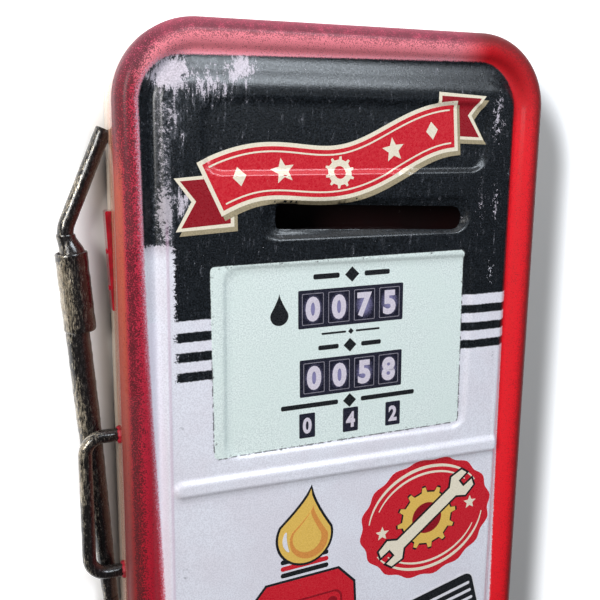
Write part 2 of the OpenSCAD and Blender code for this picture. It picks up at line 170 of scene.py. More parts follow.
class Panel:
    """A pressed sheet with a rolled border, as a grid whose outer lines follow its round corners."""

    def __init__(self, size, corner, ring, levels, inner_x, inner_z, relief):
        width, height = size
        us = np.array([u for u, v in ring] + list(levels))
        self.steps = len(us)
        place = corner - us
        for k in range(len(ring) - 2, -1, -1):
            place[k] = place[k + 1] + math.dist(ring[k], ring[k + 1])
        line_x, side_x, depth_x, place_x = self.lines(width / 2, us, place, inner_x)
        line_z, side_z, depth_z, place_z = self.lines(height / 2, us, place, inner_z)
        self.line_x, self.line_z = line_x, line_z
        x, z = np.meshgrid(line_x, line_z, indexing="ij")
        depth = np.minimum(depth_x[:, None], depth_z[None, :])
        px, pz = np.meshgrid(place_x, place_z, indexing="ij")
        sx, sz = np.meshgrid(side_x, side_z, indexing="ij")
        turn = math.pi / 4 * np.minimum(px, pz) / np.maximum(np.maximum(px, pz), 1e-9)
        radius = corner - us[np.minimum(depth, self.steps - 1)]
        along, across = radius * np.cos(turn), radius * np.sin(turn)
        corner_here = (sx != 0) & (sz != 0)
        dx = np.where(px >= pz, along, across)
        dz = np.where(px >= pz, across, along)
        self.x = np.where(corner_here, sx * (width / 2 - corner + dx), x)
        self.z = np.where(corner_here, sz * (height / 2 - corner + dz), z)
        ring_v = np.array([v for u, v in ring])
        in_ring = depth < len(ring)
        self.v = np.where(in_ring, ring_v[np.minimum(depth, len(ring) - 1)], relief(self.x, self.z))
        self.kept = np.ones((len(line_x) - 1, len(line_z) - 1), bool)
        self.relief = relief

    @staticmethod
    def lines(half, us, place, inner):
        """Positions, side, number from the border, and place along the border's profile."""
        count = len(us)
        line = np.concatenate([us - half, inner, half - us[::-1]])
        side = np.concatenate([-np.ones(count), np.zeros(len(inner)), np.ones(count)])
        number = np.concatenate([np.arange(count), np.full(len(inner), 10 ** 6), np.arange(count)[::-1]])
        where = np.concatenate([place, np.zeros(len(inner)), place[::-1]])
        return line, side, number, where

    def punch(self, distance):
        """Cuts a hole where distance(x, z) is negative, and pulls the grid to its edge."""
        mid = [(g[:-1, :-1] + g[1:, :-1] + g[:-1, 1:] + g[1:, 1:]) / 4 for g in (self.x, self.z)]
        gone = distance(*mid) < 0
        self.kept &= ~gone
        count = np.zeros(self.x.shape, int)
        for a in (slice(None, -1), slice(1, None)):
            for b in (slice(None, -1), slice(1, None)):
                count[a, b] += gone
        edge = (count > 0) & (count < 4)
        step = 0.01
        for _ in range(3):
            x, z = self.x[edge], self.z[edge]
            d = distance(x, z)
            gx = (distance(x + step, z) - distance(x - step, z)) / (2 * step)
            gz = (distance(x, z + step) - distance(x, z - step)) / (2 * step)
            self.x[edge] -= d * gx
            self.z[edge] -= d * gz
        self.v[edge] = self.relief(self.x[edge], self.z[edge])

    def normals(self):
        grid = np.stack([self.x, self.v, self.z], axis=-1)
        n = np.cross(np.gradient(grid, axis=1), np.gradient(grid, axis=0))
        return n / np.linalg.norm(n, axis=-1, keepdims=True)

    def solid(self, offset):
        """The sheet as a closed mesh, with its other side at offset along the normals."""
        grid = np.stack([self.x, self.v, self.z], axis=-1)
        other = grid + offset * self.normals()
        i, j = np.nonzero(self.kept)
        row = self.x.shape[1]
        a = i * row + j
        faces = np.column_stack([a, a + row, a + row + 1, a + 1]).tolist()
        return shell(grid.reshape(-1, 3), other.reshape(-1, 3), faces)

    def height(self, x, z):
        """v of the sheet's front at points away from its round corners."""
        i = np.clip(np.searchsorted(self.line_x, x) - 1, 0, len(self.line_x) - 2)
        j = np.clip(np.searchsorted(self.line_z, z) - 1, 0, len(self.line_z) - 2)
        s = (x - self.line_x[i]) / (self.line_x[i + 1] - self.line_x[i])
        t = (z - self.line_z[j]) / (self.line_z[j + 1] - self.line_z[j])
        near = self.v[i, j] * (1 - s) + self.v[i + 1, j] * s
        far = self.v[i, j + 1] * (1 - s) + self.v[i + 1, j + 1] * s
        return near * (1 - t) + far * t


def arc(centre, radius, start, end, count):
    """Points of an arc between two angles in degrees."""
    turn = np.radians(np.linspace(start, end, count))
    return [(centre[0] + radius * math.cos(a), centre[1] + radius * math.sin(a)) for a in turn]


# ---- Materials ----

class Value:
    """A number that a material's nodes work out. Arithmetic on it adds nodes."""

    def __init__(self, paint, socket):
        self.paint, self.socket = paint, socket

    def __add__(self, other):
        return self.paint.math("ADD", self, other)

    def __mul__(self, other):
        return self.paint.math("MULTIPLY", self, other)

    def __sub__(self, other):
        return self.paint.math("SUBTRACT", self, other)

    def __rsub__(self, other):
        return self.paint.math("SUBTRACT", other, self)

    def __truediv__(self, other):
        return self.paint.math("DIVIDE", self, other)

    def __abs__(self):
        return self.paint.math("ABSOLUTE", self, 0.0)


class Paint:
    """A material, with short calls for the nodes that the looks share. Its points are in millimetres."""

    def __init__(self, name):
        self.material = bpy.data.materials.new(name)
        self.material.use_nodes = True
        self.tree = self.material.node_tree
        self.shader = self.tree.nodes["Principled BSDF"]
        coords = self.node("ShaderNodeTexCoord")
        self.normal = coords.outputs["Normal"]
        self.point = self.vector("SCALE", coords.outputs["Object"], scale=1 / MM)
        self.x, self.y, self.z = self.split(self.point)

    def node(self, kind, **settings):
        made = self.tree.nodes.new(kind)
        for key, value in settings.items():
            setattr(made, key, value)
        return made

    def feed(self, socket, value):
        """Sets a socket to a number, a colour or what another node makes."""
        if isinstance(value, Value):
            value = value.socket
        if isinstance(value, bpy.types.NodeSocket):
            self.tree.links.new(value, socket)
        elif isinstance(value, tuple) and socket.type == "RGBA":
            socket.default_value = (*value[:3], 1)
        else:
            socket.default_value = value

    def split(self, vector):
        made = self.node("ShaderNodeSeparateXYZ")
        self.feed(made.inputs[0], vector)
        return [Value(self, socket) for socket in made.outputs]

    def vector(self, operation, a, b=None, scale=None):
        made = self.node("ShaderNodeVectorMath", operation=operation)
        self.feed(made.inputs[0], a)
        if b is not None:
            self.feed(made.inputs[1], b)
        if scale is not None:
            self.feed(made.inputs["Scale"], scale)
        return Value(self, made.outputs["Value" if operation == "LENGTH" else "Vector"])

    def length(self, x, z):
        """Distance of a point in the front's plane from its origin."""
        made = self.node("ShaderNodeCombineXYZ")
        self.feed(made.inputs[0], x)
        self.feed(made.inputs[2], z)
        return self.vector("LENGTH", made.outputs[0])

    def math(self, operation, a, b, clamp=False):
        made = self.node("ShaderNodeMath", operation=operation, use_clamp=clamp)
        self.feed(made.inputs[0], a)
        self.feed(made.inputs[1], b)
        return Value(self, made.outputs[0])

    def either(self, a, b):
        return self.math("MAXIMUM", a, b)

    def ramp(self, value, lo, hi, out=(0.0, 1.0)):
        """value from lo to hi, as a smooth rise between the two numbers in out."""
        made = self.node("ShaderNodeMapRange", interpolation_type="SMOOTHSTEP")
        for key, number in enumerate((value, lo, hi, *out)):
            self.feed(made.inputs[key], number)
        return Value(self, made.outputs[0])

    def band(self, value, lo, hi, soft):
        """1 between lo and hi, with soft edges."""
        up = self.ramp(value, lo - soft / 2, lo + soft / 2)
        return up * self.ramp(value, hi - soft / 2, hi + soft / 2, (1.0, 0.0))

    def noise(self, scale, detail=2.0, roughness=0.55, stretch=(1, 1, 1), seed=0.0, twist=0.0):
        """Noise from 0 to 1 with scale bumps to a millimetre."""
        where = self.vector("MULTIPLY", self.point, stretch)
        where = self.vector("ADD", where, (seed, seed * 1.7, -seed))
        made = self.node("ShaderNodeTexNoise")
        settings = {"Vector": where, "Scale": scale, "Detail": detail, "Roughness": roughness,
                    "Distortion": twist}
        for key, value in settings.items():
            self.feed(made.inputs[key], value)
        return Value(self, made.outputs[0])

    def mix(self, share, a, b):
        made = self.node("ShaderNodeMix", data_type="RGBA")
        for key, value in ((0, share), (6, a), (7, b)):
            self.feed(made.inputs[key], value)
        return Value(self, made.outputs[2])

    def rectangle(self, centre, size, radius, point=None):
        """Distance from an upright rectangle with round corners, down to -radius inside."""
        x, z = point or (self.x, self.z)
        qx = abs(x - centre[0]) - (size[0] / 2 - radius)
        qz = abs(z - centre[1]) - (size[1] / 2 - radius)
        return self.length(self.either(qx, 0.0), self.either(qz, 0.0)) - radius

    def spot(self, centre, radii):
        """1 at an ellipse's middle and 0 at its edge."""
        x, z = (self.x - centre[0]) / radii[0], (self.z - centre[1]) / radii[1]
        return self.math("SUBTRACT", 1.0, self.length(x, z), clamp=True)

    def spots(self, places):
        """The strongest of several spots, each with its centre, radii and strength."""
        total = None
        for centre, radii, strength in places:
            here = self.spot(centre, radii) * strength
            total = here if total is None else self.either(total, here)
        return total

    def bump(self, height, distance):
        made = self.node("ShaderNodeBump")
        self.feed(made.inputs["Height"], height)
        made.inputs["Strength"].default_value = 1.0
        made.inputs["Distance"].default_value = distance * MM
        self.feed(self.shader.inputs["Normal"], made.outputs[0])

    def finish(self, colour, roughness, **constants):
        self.feed(self.shader.inputs["Base Color"], colour)
        self.feed(self.shader.inputs["Roughness"], roughness)
        for key, value in constants.items():
            socket = key.replace("_", " ").title().replace("Ior", "IOR")
            self.shader.inputs[socket].default_value = value
        return self.material


# Colours, as linear light
RED = (0.74, 0.001, 0.010)
# Painted shade for the border's outer bead
SHADED_EDGE_RED = (0.16, 0.001, 0.002)
DARK_SPECK = (0.020, 0.002, 0.004)
PALE_EDGE = (0.78, 0.55, 0.68)
BLACK = (0.002, 0.003, 0.004)
BLACK_GRAIN = (0.017, 0.021, 0.027)
BLACK_DUST = (0.032, 0.036, 0.041)
FACE_WHITE = (0.80, 0.80, 0.87)
WINDOW_WHITE = (0.70, 0.80, 0.76)
CREAM = (0.85, 0.77, 0.62)
TAN = (0.40, 0.33, 0.21)
NAVY = (0.010, 0.010, 0.022)
YELLOW = (0.80, 0.52, 0.12)

# The print sits slightly askew on the front
PRINT_TURN = math.radians(0.85)
PRINT_PIVOT = (0.0, TOP - 178)

BLACK_END = TOP - 151.8
STRIPES = dict(count=3, top=TOP - 158.1, pitch=10.85, width=5.2, end=-100)
WINDOW_PRINT = dict(centre=(-1.6, TOP - 177.7), size=(154, 106.8), radius=2.6)
BORDER_EDGE = dict(centre=(-3.2, 0), size=(218.6, FRONT_H - 34.4), radius=24)
FOLD_LINE_X = -101.4

# Worn places of the front: centre, radii and strength
WORN = [
    ((-98, TOP - 28), (16, 14), 1.6),
    ((-62, TOP - 25), (13, 14), 1.15),
    ((-80, TOP - 33), (28, 15), 0.80),
    ((-98, TOP - 48), (13, 20), 0.7),
    ((-93, TOP - 92), (9, 14), 0.95),
    ((-102, TOP - 96), (7, 24), 1.2),
]
# The same as upright strips: centre, size, corner radius and strength
WORN_STRIPS = [
    ((-102, TOP - 76), (9, 84), 4, 0.50),
    ((-111.3, TOP - 152), (26.6, 78), 3, 1.5),
]
CHIPPED = [
    ((93, TOP - 47), (7, 22), 1.15),
    ((94, TOP - 97), (4, 18), 1.05),
    ((93, TOP - 137), (4, 12), 0.95),
    ((84, TOP - 96), (5, 28), 0.7),
]
SCUFFED = [
    ((98, TOP - 190), (5, 26), 0.9),
    ((99, TOP - 236), (4, 26), 0.9),
    ((-95, TOP - 214), (7, 20), 0.8),
    ((-60, TOP - 275), (16, 14), 0.5),
    ((-95, TOP - 300), (8, 24), 0.85),
    ((60, TOP - 390), (40, 20), 0.5),
    ((-70, TOP - 470), (30, 30), 0.6),
]


def printed_to_panel(points):
    """Turns points of the print into the panel's own."""
    p = np.asarray(points, float) - PRINT_PIVOT
    c, s = math.cos(PRINT_TURN), math.sin(PRINT_TURN)
    return np.column_stack([p[:, 0] * c - p[:, 1] * s, p[:, 0] * s + p[:, 1] * c]) + PRINT_PIVOT


def print_point(p):
    """x and z in the print's own frame."""
    dx, dz = p.x - PRINT_PIVOT[0], p.z - PRINT_PIVOT[1]
    c, s = math.cos(PRINT_TURN), math.sin(PRINT_TURN)
    return dx * c + dz * s + PRINT_PIVOT[0], dz * c - dx * s + PRINT_PIVOT[1]


def varnish_grain(p):
    """The fine leathery grain of the varnished print, 0 to 1."""
    return p.noise(1.35, 1.5, 0.6, seed=3.1) * 0.65 + p.noise(0.75, 2.0, 0.5, seed=9.7) * 0.35


def print_tooth(p):
    """The mottle of ink that the sheet's texture leaves, 0 to 1."""
    return p.noise(1.25, 1.0, 0.5, seed=77.0)


def varnish_gloss(p, grain):
    return p.ramp(grain, 0.3, 0.7, (0.24, 0.38))


def black_share(p, px, edge_z):
    """1 on the black upper face and on its stripes, which are frayed at their left ends."""
    black = p.ramp(edge_z, BLACK_END - 0.4, BLACK_END + 0.4)
    frayed = px + (p.noise(0.8, 3.0, 0.7, seed=15.0) - 0.5) * 9
    stripe_end = p.ramp(frayed, STRIPES["end"] - 0.6, STRIPES["end"] + 0.6)
    for k in range(STRIPES["count"]):
        top = STRIPES["top"] - STRIPES["pitch"] * k
        black = p.either(black, p.band(edge_z, top - STRIPES["width"], top, 0.7) * stripe_end)
    return black


def wear(p, fine, mottle):
    """How worn the black is, half and right through, with streaks that run down, and where it is mottled."""
    streak = p.noise(0.46, 4.0, 0.76, stretch=(1.0, 1.0, 0.24), seed=2.0, twist=0.4)
    strip = p.ramp(p.x, -104, -92, (1.0, 0.0)) * p.ramp(p.z, TOP - 46, TOP - 34, (1.0, 0.0))
    bite = streak * (1 - strip) + mottle * strip + (fine - 0.5) * 0.35
    worn = p.spots(WORN)
    for centre, size, radius, strength in WORN_STRIPS:
        ragged = p.rectangle(centre, size, radius) + (mottle - 0.5) * 14
        worn = p.either(worn, p.ramp(ragged, 1.5, -2.0) * strength)
    worn = worn + (bite - 0.5) * 2.8
    chip_noise = p.noise(0.55, 4.0, 0.8, stretch=(1.0, 1.0, 0.55), seed=7.0, twist=0.8)
    chips = p.spots(CHIPPED) + (chip_noise - 0.5) * 5
    through = p.either(p.ramp(worn, 0.62, 0.74), p.ramp(chips, 0.98, 1.08))
    return p.ramp(worn, 0.22, 0.60, (0.0, 0.75)), through, strip


def black_ink_colour(p, grain, fine, tooth, mottle):
    """The black ink with its grain, dust and wear, and where it is worn through."""
    ink = p.mix(p.ramp(tooth, 0.42, 0.68), BLACK, BLACK_GRAIN)
    combed = p.noise(1.6, 2.0, 0.6, stretch=(0.10, 1.0, 1.0), seed=83.0)
    ink = p.mix(p.ramp(combed, 0.52, 0.72, (0.0, 0.5)), ink, BLACK_GRAIN)
    dusty = p.ramp(p.noise(0.12, 3.0, 0.6, seed=14.0), 0.4, 0.75, (0.0, 0.35))
    ink = p.mix(dusty * p.ramp(fine, 0.45, 0.7), ink, BLACK_DUST)
    half, through, strip = wear(p, fine, mottle)
    pale = p.mix(p.ramp(grain, 0.35, 0.65), (0.42, 0.38, 0.43), (0.66, 0.60, 0.67))
    pale = p.mix(strip * p.ramp(p.z, TOP - 118, TOP - 100, (0.0, 0.55)), pale, (0.30, 0.27, 0.29))
    smoke = p.mix(p.ramp(mottle, 0.35, 0.6), (0.035, 0.037, 0.040), (0.12, 0.125, 0.145))
    return p.mix(through, p.mix(half, ink, smoke), pale), through


def lower_face_colour(p, fine, tooth, mottle):
    """The pale lower face, a little clouded and scuffed."""
    cloud = p.noise(0.035, 3.0, 0.6, seed=31.0)
    low = p.mix(p.ramp(cloud, 0.35, 0.7), FACE_WHITE, (0.76, 0.735, 0.80))
    low = p.mix(p.ramp(tooth, 0.62, 0.36, (0.0, 0.42)), low, (0.52, 0.50, 0.56))
    scuff = p.ramp(p.noise(0.16, 4.0, 0.75, seed=44.0), 0.66, 0.76)
    low = p.mix(scuff * p.ramp(fine, 0.4, 0.6, (0.0, 0.4)), low, (0.35, 0.33, 0.38))
    marks = p.spots(SCUFFED) + (mottle - 0.5) * 3.4
    return p.mix(p.ramp(marks, 0.92, 1.15, (0.0, 0.6)), low, (0.28, 0.27, 0.31))


def add_window(p, colour, place, wobble, tooth):
    """The window's pale print, with a rubbed edge and a broken dark line at its sides and foot."""
    window = p.rectangle(**WINDOW_PRINT, point=place) + wobble * 0.55
    glass = p.mix(p.ramp(tooth, 0.36, 0.64), (0.62, 0.70, 0.68), (0.80, 0.88, 0.85))
    glass = p.mix(p.ramp(p.noise(0.05, 2.0, seed=50.0), 0.35, 0.7, (0.0, 0.5)), glass, WINDOW_WHITE)
    colour = p.mix(p.ramp(window, -0.25, 0.25, (1.0, 0.0)), colour, glass)
    rub = p.band(window, -1.6, 1.0, 0.9) * p.ramp(p.noise(0.28, 4.0, 0.8, seed=61.0), 0.57, 0.66)
    colour = p.mix(rub * 0.75, colour, (0.07, 0.07, 0.075))
    line = p.band(window, -0.2, 0.5, 0.4) * p.ramp(p.noise(0.30, 3.0, 0.7, seed=63.0), 0.42, 0.52)
    px, pz = place
    left = p.ramp(px, -74, -78) * p.ramp(pz, TOP - 165, TOP - 190)
    drawn = p.either(p.either(p.ramp(px, 62, 74), left), p.ramp(pz, TOP - 226, TOP - 230))
    return p.mix(line * drawn * 0.85, colour, (0.045, 0.045, 0.05))


def border_red(p, inwards, left, top, cloudy):
    """The border's reds: plain on the right, pink on top, crimson on the left, with painted shade, sheen and
    reflection.
    """
    high = p.ramp(p.z, TOP - 290, TOP - 110)
    # Painted shade: the top right corner of the border is darker, where the bead turns away from the light.
    corner = p.ramp(p.z, TOP - 62, TOP - 22) * p.ramp(p.x, 70, 100)
    # Painted shade: the red darkens outwards, on the rolled bead's outer side, which turns away from the
    # light.
    red = p.mix(p.ramp(inwards, 2.5, 10.5), SHADED_EDGE_RED, RED)
    red = p.mix(corner * 0.6, red, (0.30, 0.001, 0.005))
    # On the left the crimson and its outer flank are lighter higher up and darker lower down: partly the
    # paint's own colour, partly a painted reflection of the bright surroundings.
    crimson = p.mix(p.ramp(inwards, 2.0, 10.0), (0.26, 0.006, 0.008), (0.48, 0.004, 0.022))
    crimson = p.mix(high * 0.7, crimson, (0.52, 0.024, 0.065))
    flank = p.mix(high, (0.16, 0.008, 0.007), (0.43, 0.068, 0.032))
    crimson = p.mix(p.ramp(inwards, 3.2, 1.0) * p.ramp(p.z, TOP - 50, TOP - 90), crimson, flank)
    # The pink on top is partly the print's own pink and partly a painted sheen of overhead light, paler
    # inwards.
    pink = p.mix(p.ramp(inwards, 4.0, 9.0), (0.52, 0.060, 0.12), (0.92, 0.25, 0.30))
    murk = p.band(inwards, 2.5, 7.0, 3.0) * p.ramp(cloudy, 0.35, 0.6, (0.0, 0.6))
    pink = p.mix(murk, pink, (0.26, 0.05, 0.08))
    return p.mix(top, p.mix(left, red, crimson), pink)


def border_specks(p, inwards, left, top, cloudy):
    """How strongly the border's dark specks show. They are denser outwards."""
    bare = p.ramp(inwards, 4.0, 1.5, (0.0, 0.35)) * p.ramp(p.z, TOP - 50, TOP - 90)
    density = p.ramp(inwards, 3.0, 13.0, (0.22, -0.10)) - bare + (cloudy - 0.4) * 0.35
    specks = (p.noise(1.75, 1.0, 0.5, seed=88.0) - 0.5) * 1.25 + density
    strength = p.either(left * 0.42 - top * 0.05 + 0.38, top * 0.55)
    return p.ramp(specks, 0.06, 0.15) * strength


def add_border(p, colour, place, fine, black):
    """The red border, with a pale fuzzy inner edge, and the distance from that edge."""
    px, pz = place
    lean = p.ramp(p.z, TOP - 120, TOP - 330, (0.0, 4.8)) * p.ramp(p.x, 40, -60)
    edge = p.rectangle(**BORDER_EDGE, point=(px - lean, pz))
    inwards = p.rectangle((0, 0), (FRONT_W, FRONT_H), CORNER_R) * -1
    left = p.ramp(p.x, -92, -110)
    top = p.ramp(p.z, TOP - 38, TOP - 20) * p.ramp(p.x, 86, 58)
    cloudy = p.noise(0.22, 4.0, 0.7, seed=71.0)
    red = border_red(p, inwards, left, top, cloudy)
    red = p.mix(border_specks(p, inwards, left, top, cloudy), red, DARK_SPECK)
    fuzz = edge + (fine - 0.5) * 9
    red = p.mix(p.ramp(fuzz, 2.8, -1.8) * p.either(left, top * 0.5) * 0.85, red, PALE_EDGE)
    fade = p.band(edge * -1, -2.0, 5.0, 5.0) * left * 0.5 * (1 - black)
    colour = p.mix(fade, colour, (0.80, 0.72, 0.82))
    return p.mix(p.ramp(edge + (fine - 0.5) * 2.4, -0.5, 0.5), colour, red), edge


def front_paint():
    """The printed front: black top with stripes, pale lower face, window and red border, with painted shade
    along the left fold and painted shade and sheen on the border.
    """
    p = Paint("printed_front")
    grain, tooth = varnish_grain(p), print_tooth(p)
    fine = p.noise(1.5, 2.0, 0.7, seed=21.0)
    mottle = p.noise(0.55, 4.0, 0.75, stretch=(0.8, 1.0, 1.0), seed=19.0, twist=0.6)
    wobble = (p.noise(0.9, 2.0, 0.6, seed=5.0) - 0.5) * 1.1
    place = print_point(p)
    black = black_share(p, place[0], place[1] + wobble)
    ink, bare = black_ink_colour(p, grain, fine, tooth, mottle)
    low = lower_face_colour(p, fine, tooth, mottle)
    colour = p.mix(black, low, ink)
    colour = p.mix(bare * p.ramp(p.z, TOP - 112, TOP - 122), colour, low)
    colour = add_window(p, colour, place, wobble, tooth)
    # Painted shade: a faint pinkish grey line along the fold between the valley and the flat face, low on
    # the left.
    fold = p.ramp(abs(p.x - FOLD_LINE_X), 0.3, 1.3, (0.42, 0.0)) * p.ramp(p.z, TOP - 96, TOP - 112)
    colour = p.mix(fold, colour, (0.58, 0.38, 0.50))
    colour, edge = add_border(p, colour, place, fine, black)
    p.bump(grain + bare * 0.2, 0.10)
    roughness = varnish_gloss(p, grain) + bare * 0.2 + p.ramp(edge, -1.0, 1.0) * 0.40
    return p.finish(colour, roughness, coat_weight=0.12, coat_roughness=0.22, specular_ior_level=0.40)


def varnished(p, colour):
    """Finishes a motif's ink with the same grain and gloss as the front round it."""
    grain = varnish_grain(p)
    p.bump(grain, 0.09)
    return p.finish(colour, varnish_gloss(p, grain), coat_weight=0.2, coat_roughness=0.22)


def ink_paint(name, colour, second, grain_share=0.5, worn=0.25):
    """Ink of a printed motif, mottled with a second colour and rubbed in places."""
    p = Paint(name)
    made = p.mix(p.ramp(print_tooth(p), 0.36, 0.66, (0.0, grain_share)), colour, second)
    rubbed = p.ramp(p.noise(0.30, 4.0, 0.8, seed=12.0), 0.66, 0.76, (0.0, worn))
    return varnished(p, p.mix(rubbed, made, (0.62, 0.57, 0.55)))


def cell_paint(name, left, pitch):
    """Navy number cells with a lilac glow behind each number of a row, which starts at its left end."""
    p = Paint(name)
    px, pz = print_point(p)
    turns = (px - left[0]) / pitch + 2
    across = (p.math("FRACT", turns, 0.0) - 0.5) * 2.6
    away = p.length(across, (pz - left[1]) / 8.5) + (print_tooth(p) - 0.5) * 0.7
    return varnished(p, p.mix(p.ramp(away, 1.05, 0.15), NAVY, (0.24, 0.22, 0.40)))


def wall_paint():
    """Gloss enamel of the side wall: deep red by the door, and on the left turning to peach and cream
    towards the wall, a painted reflection of the white wall behind it."""
    p = Paint("side_wall_enamel")
    streak = p.noise(0.5, 3.0, 0.6, stretch=(0.3, 1.0, 0.02), seed=4.0)
    base = p.mix(p.ramp(streak, 0.3, 0.7), (0.29, 0.030, 0.023), (0.33, 0.046, 0.032))
    left = p.ramp(p.x, -100, -118)
    depth = p.y + (streak - 0.5) * 10
    # Painted reflection: on the left, peach and then cream towards the back wall, where the glossy side
    # mirrors the white wall.
    base = p.mix(p.ramp(depth, -27, -17) * left * 0.9, base, (0.74, 0.40, 0.26))
    base = p.mix(p.ramp(depth, -17, -7) * left * 0.9, base, (0.86, 0.74, 0.60))
    # Lower down on the left the peach and cream are duller.
    base = p.mix(p.ramp(p.z, TOP - 200, TOP - 270) * left * 0.35, base, (0.62, 0.42, 0.32))
    dust = p.ramp(p.noise(0.9, 4.0, 0.75, seed=8.0), 0.62, 0.74, (0.0, 0.35))
    p.bump(p.noise(0.35, 3.0, 0.5, seed=16.0), 0.06)
    roughness = p.ramp(streak, 0.3, 0.7, (0.16, 0.30))
    return p.finish(p.mix(dust, base, (0.20, 0.01, 0.012)), roughness, coat_weight=0.6, coat_roughness=0.1)


def gloss_paint(name, roughness, coat):
    """Thick red enamel, a little darker in the hollows of its brushed runs."""
    p = Paint(name)
    run = p.noise(0.28, 3.0, 0.6, stretch=(1.0, 1.0, 0.35), seed=33.0)
    fine = p.noise(1.4, 2.0, 0.6, seed=35.0)
    base = p.mix(p.ramp(run, 0.35, 0.65), (0.24, 0.004, 0.012), (0.48, 0.008, 0.028))
    base = p.mix(p.ramp(fine, 0.60, 0.72, (0.0, 0.5)), base, (0.06, 0.003, 0.006))
    p.bump(run + fine * 0.25, 0.22)
    rough = p.ramp(fine, 0.3, 0.7, (roughness, roughness + 0.12))
    return p.finish(base, rough, coat_weight=coat, coat_roughness=0.08)


def primer_paint(name, colour, second):
    """Satin primer inside the cabinet and on its back, with runs, dust and rubs."""
    p = Paint(name)
    cloud = p.noise(0.03, 4.0, 0.65, seed=6.0)
    fine = p.noise(1.2, 3.0, 0.7, seed=18.0)
    made = p.mix(p.ramp(cloud, 0.3, 0.7), colour, second)
    made = p.mix(p.ramp(fine, 0.55, 0.8, (0.0, 0.3)), made, (0.05, 0.02, 0.02))
    rub = p.ramp(p.noise(0.09, 5.0, 0.8, seed=27.0), 0.64, 0.72) * p.ramp(fine, 0.35, 0.6, (0.2, 0.8))
    p.bump(fine + cloud * 0.6, 0.04)
    return p.finish(p.mix(rub, made, (0.36, 0.34, 0.33)), p.ramp(cloud, 0.3, 0.7, (0.42, 0.6)))


def blackened_metal():
    """Glossy black paint on steel, scratched through to brass on its outer side, with a painted red
    reflection of the cabinet on the side that faces it.
    """
    p = Paint("blackened_metal")
    scratch = p.noise(2.1, 4.0, 0.8, stretch=(1.0, 1.0, 0.07), seed=1.0)
    broken = p.noise(0.8, 4.0, 0.75, stretch=(1.0, 1.0, 0.45), seed=13.0)
    lumps = p.noise(0.33, 3.0, 0.6, stretch=(1.0, 1.0, 0.5), seed=23.0)
    facing = p.split(p.normal)[0]
    outer, inner = p.ramp(facing, 0.05, -0.75), p.ramp(facing, 0.25, 0.85)
    base = p.mix(p.ramp(broken, 0.4, 0.7), (0.007, 0.006, 0.006), (0.026, 0.022, 0.022))
    # Painted reflection: sides that face the cabinet are tinted dark red, as the red side wall mirrors in
    # the black.
    base = p.mix(inner * 0.7, base, (0.055, 0.004, 0.008))
    patches = p.ramp(p.noise(0.030, 2.0, seed=40.0), 0.35, 0.65, (-0.05, 0.035))
    rubbed = scratch * 0.62 + broken * 0.38 + patches
    rubbed = rubbed + outer * p.ramp(p.z, TOP - 172, TOP - 150, (0.068, 0.095))
    bare = p.ramp(rubbed, 0.57, 0.61) * p.ramp(outer, 0.0, 0.35, (0.15, 1.0))
    tone = p.mix(p.ramp(scratch, 0.45, 0.65), (0.26, 0.205, 0.135), (0.62, 0.55, 0.43))
    p.feed(p.shader.inputs["Metallic"], bare * 0.6)
    p.bump(scratch * 0.35 + broken * 0.5 + lumps, 0.16)
    roughness = p.ramp(broken, 0.3, 0.75, (0.14, 0.36))
    return p.finish(p.mix(bare, base, tone), roughness, coat_weight=0.35, coat_roughness=0.12)


def metal(name, colour, second, roughness):
    """Plated or polished metal with fine scratches and dull spots."""
    p = Paint(name)
    scratch = p.noise(2.5, 4.0, 0.8, stretch=(1.0, 0.2, 0.2), seed=19.0)
    dull = p.noise(0.5, 4.0, 0.7, seed=29.0)
    p.bump(scratch, 0.02)
    rough = p.ramp(scratch, 0.3, 0.7, (roughness, roughness + 0.16))
    return p.finish(p.mix(p.ramp(dull, 0.35, 0.7), colour, second), rough, metallic=1.0)


front_material = front_paint()
wall_material = wall_paint()
# Nearly black primer inside: a dark primer, darkened further as painted shade so that the inside reads black
# through the slot.
inside_paint_and_shade = primer_paint("inner_primer_and_shade", (0.030, 0.010, 0.011), (0.018, 0.008, 0.009))
back_material = primer_paint("back_primer", (0.24, 0.02, 0.022), (0.15, 0.014, 0.016))
black_metal = blackened_metal()
red_gloss = gloss_paint("gloss_red_enamel", 0.12, 0.7)
red_daub = gloss_paint("daubed_red_enamel", 0.45, 0.0)
steel = metal("zinc_steel", (0.52, 0.53, 0.54), (0.36, 0.35, 0.33), 0.30)
chrome = metal("lock_chrome", (0.78, 0.78, 0.79), (0.60, 0.60, 0.61), 0.10)
brass = metal("plug_brass", (0.62, 0.47, 0.24), (0.45, 0.33, 0.17), 0.24)


# ---- Front panel ----

def pressed(x, z, shape):
    """How far a pressed shape sinks at a point: its depth inside, 0 outside."""
    d = round_box(x, z, shape["centre"], shape["size"], shape["radius"])
    return shape["depth"] * (1 - unit((d + shape["wall"]) / shape["wall"]))


def slot_distance(x, z):
    """Distance from the posting slot, which is squarer at its left end."""
    c, s = math.cos(SLOT["tilt"]), math.sin(SLOT["tilt"])
    dx, dz = x - SLOT["centre"][0], z - SLOT["centre"][1]
    along, across = dx * c + dz * s, dz * c - dx * s
    radius = np.where(along < 0, SLOT["radii"][0], SLOT["radii"][1])
    return round_box(along, across, (0, 0), SLOT["size"], radius)


def lock_distance(x, z):
    return np.hypot(x - LOCK[0], z - LOCK[1]) - LOCK_R


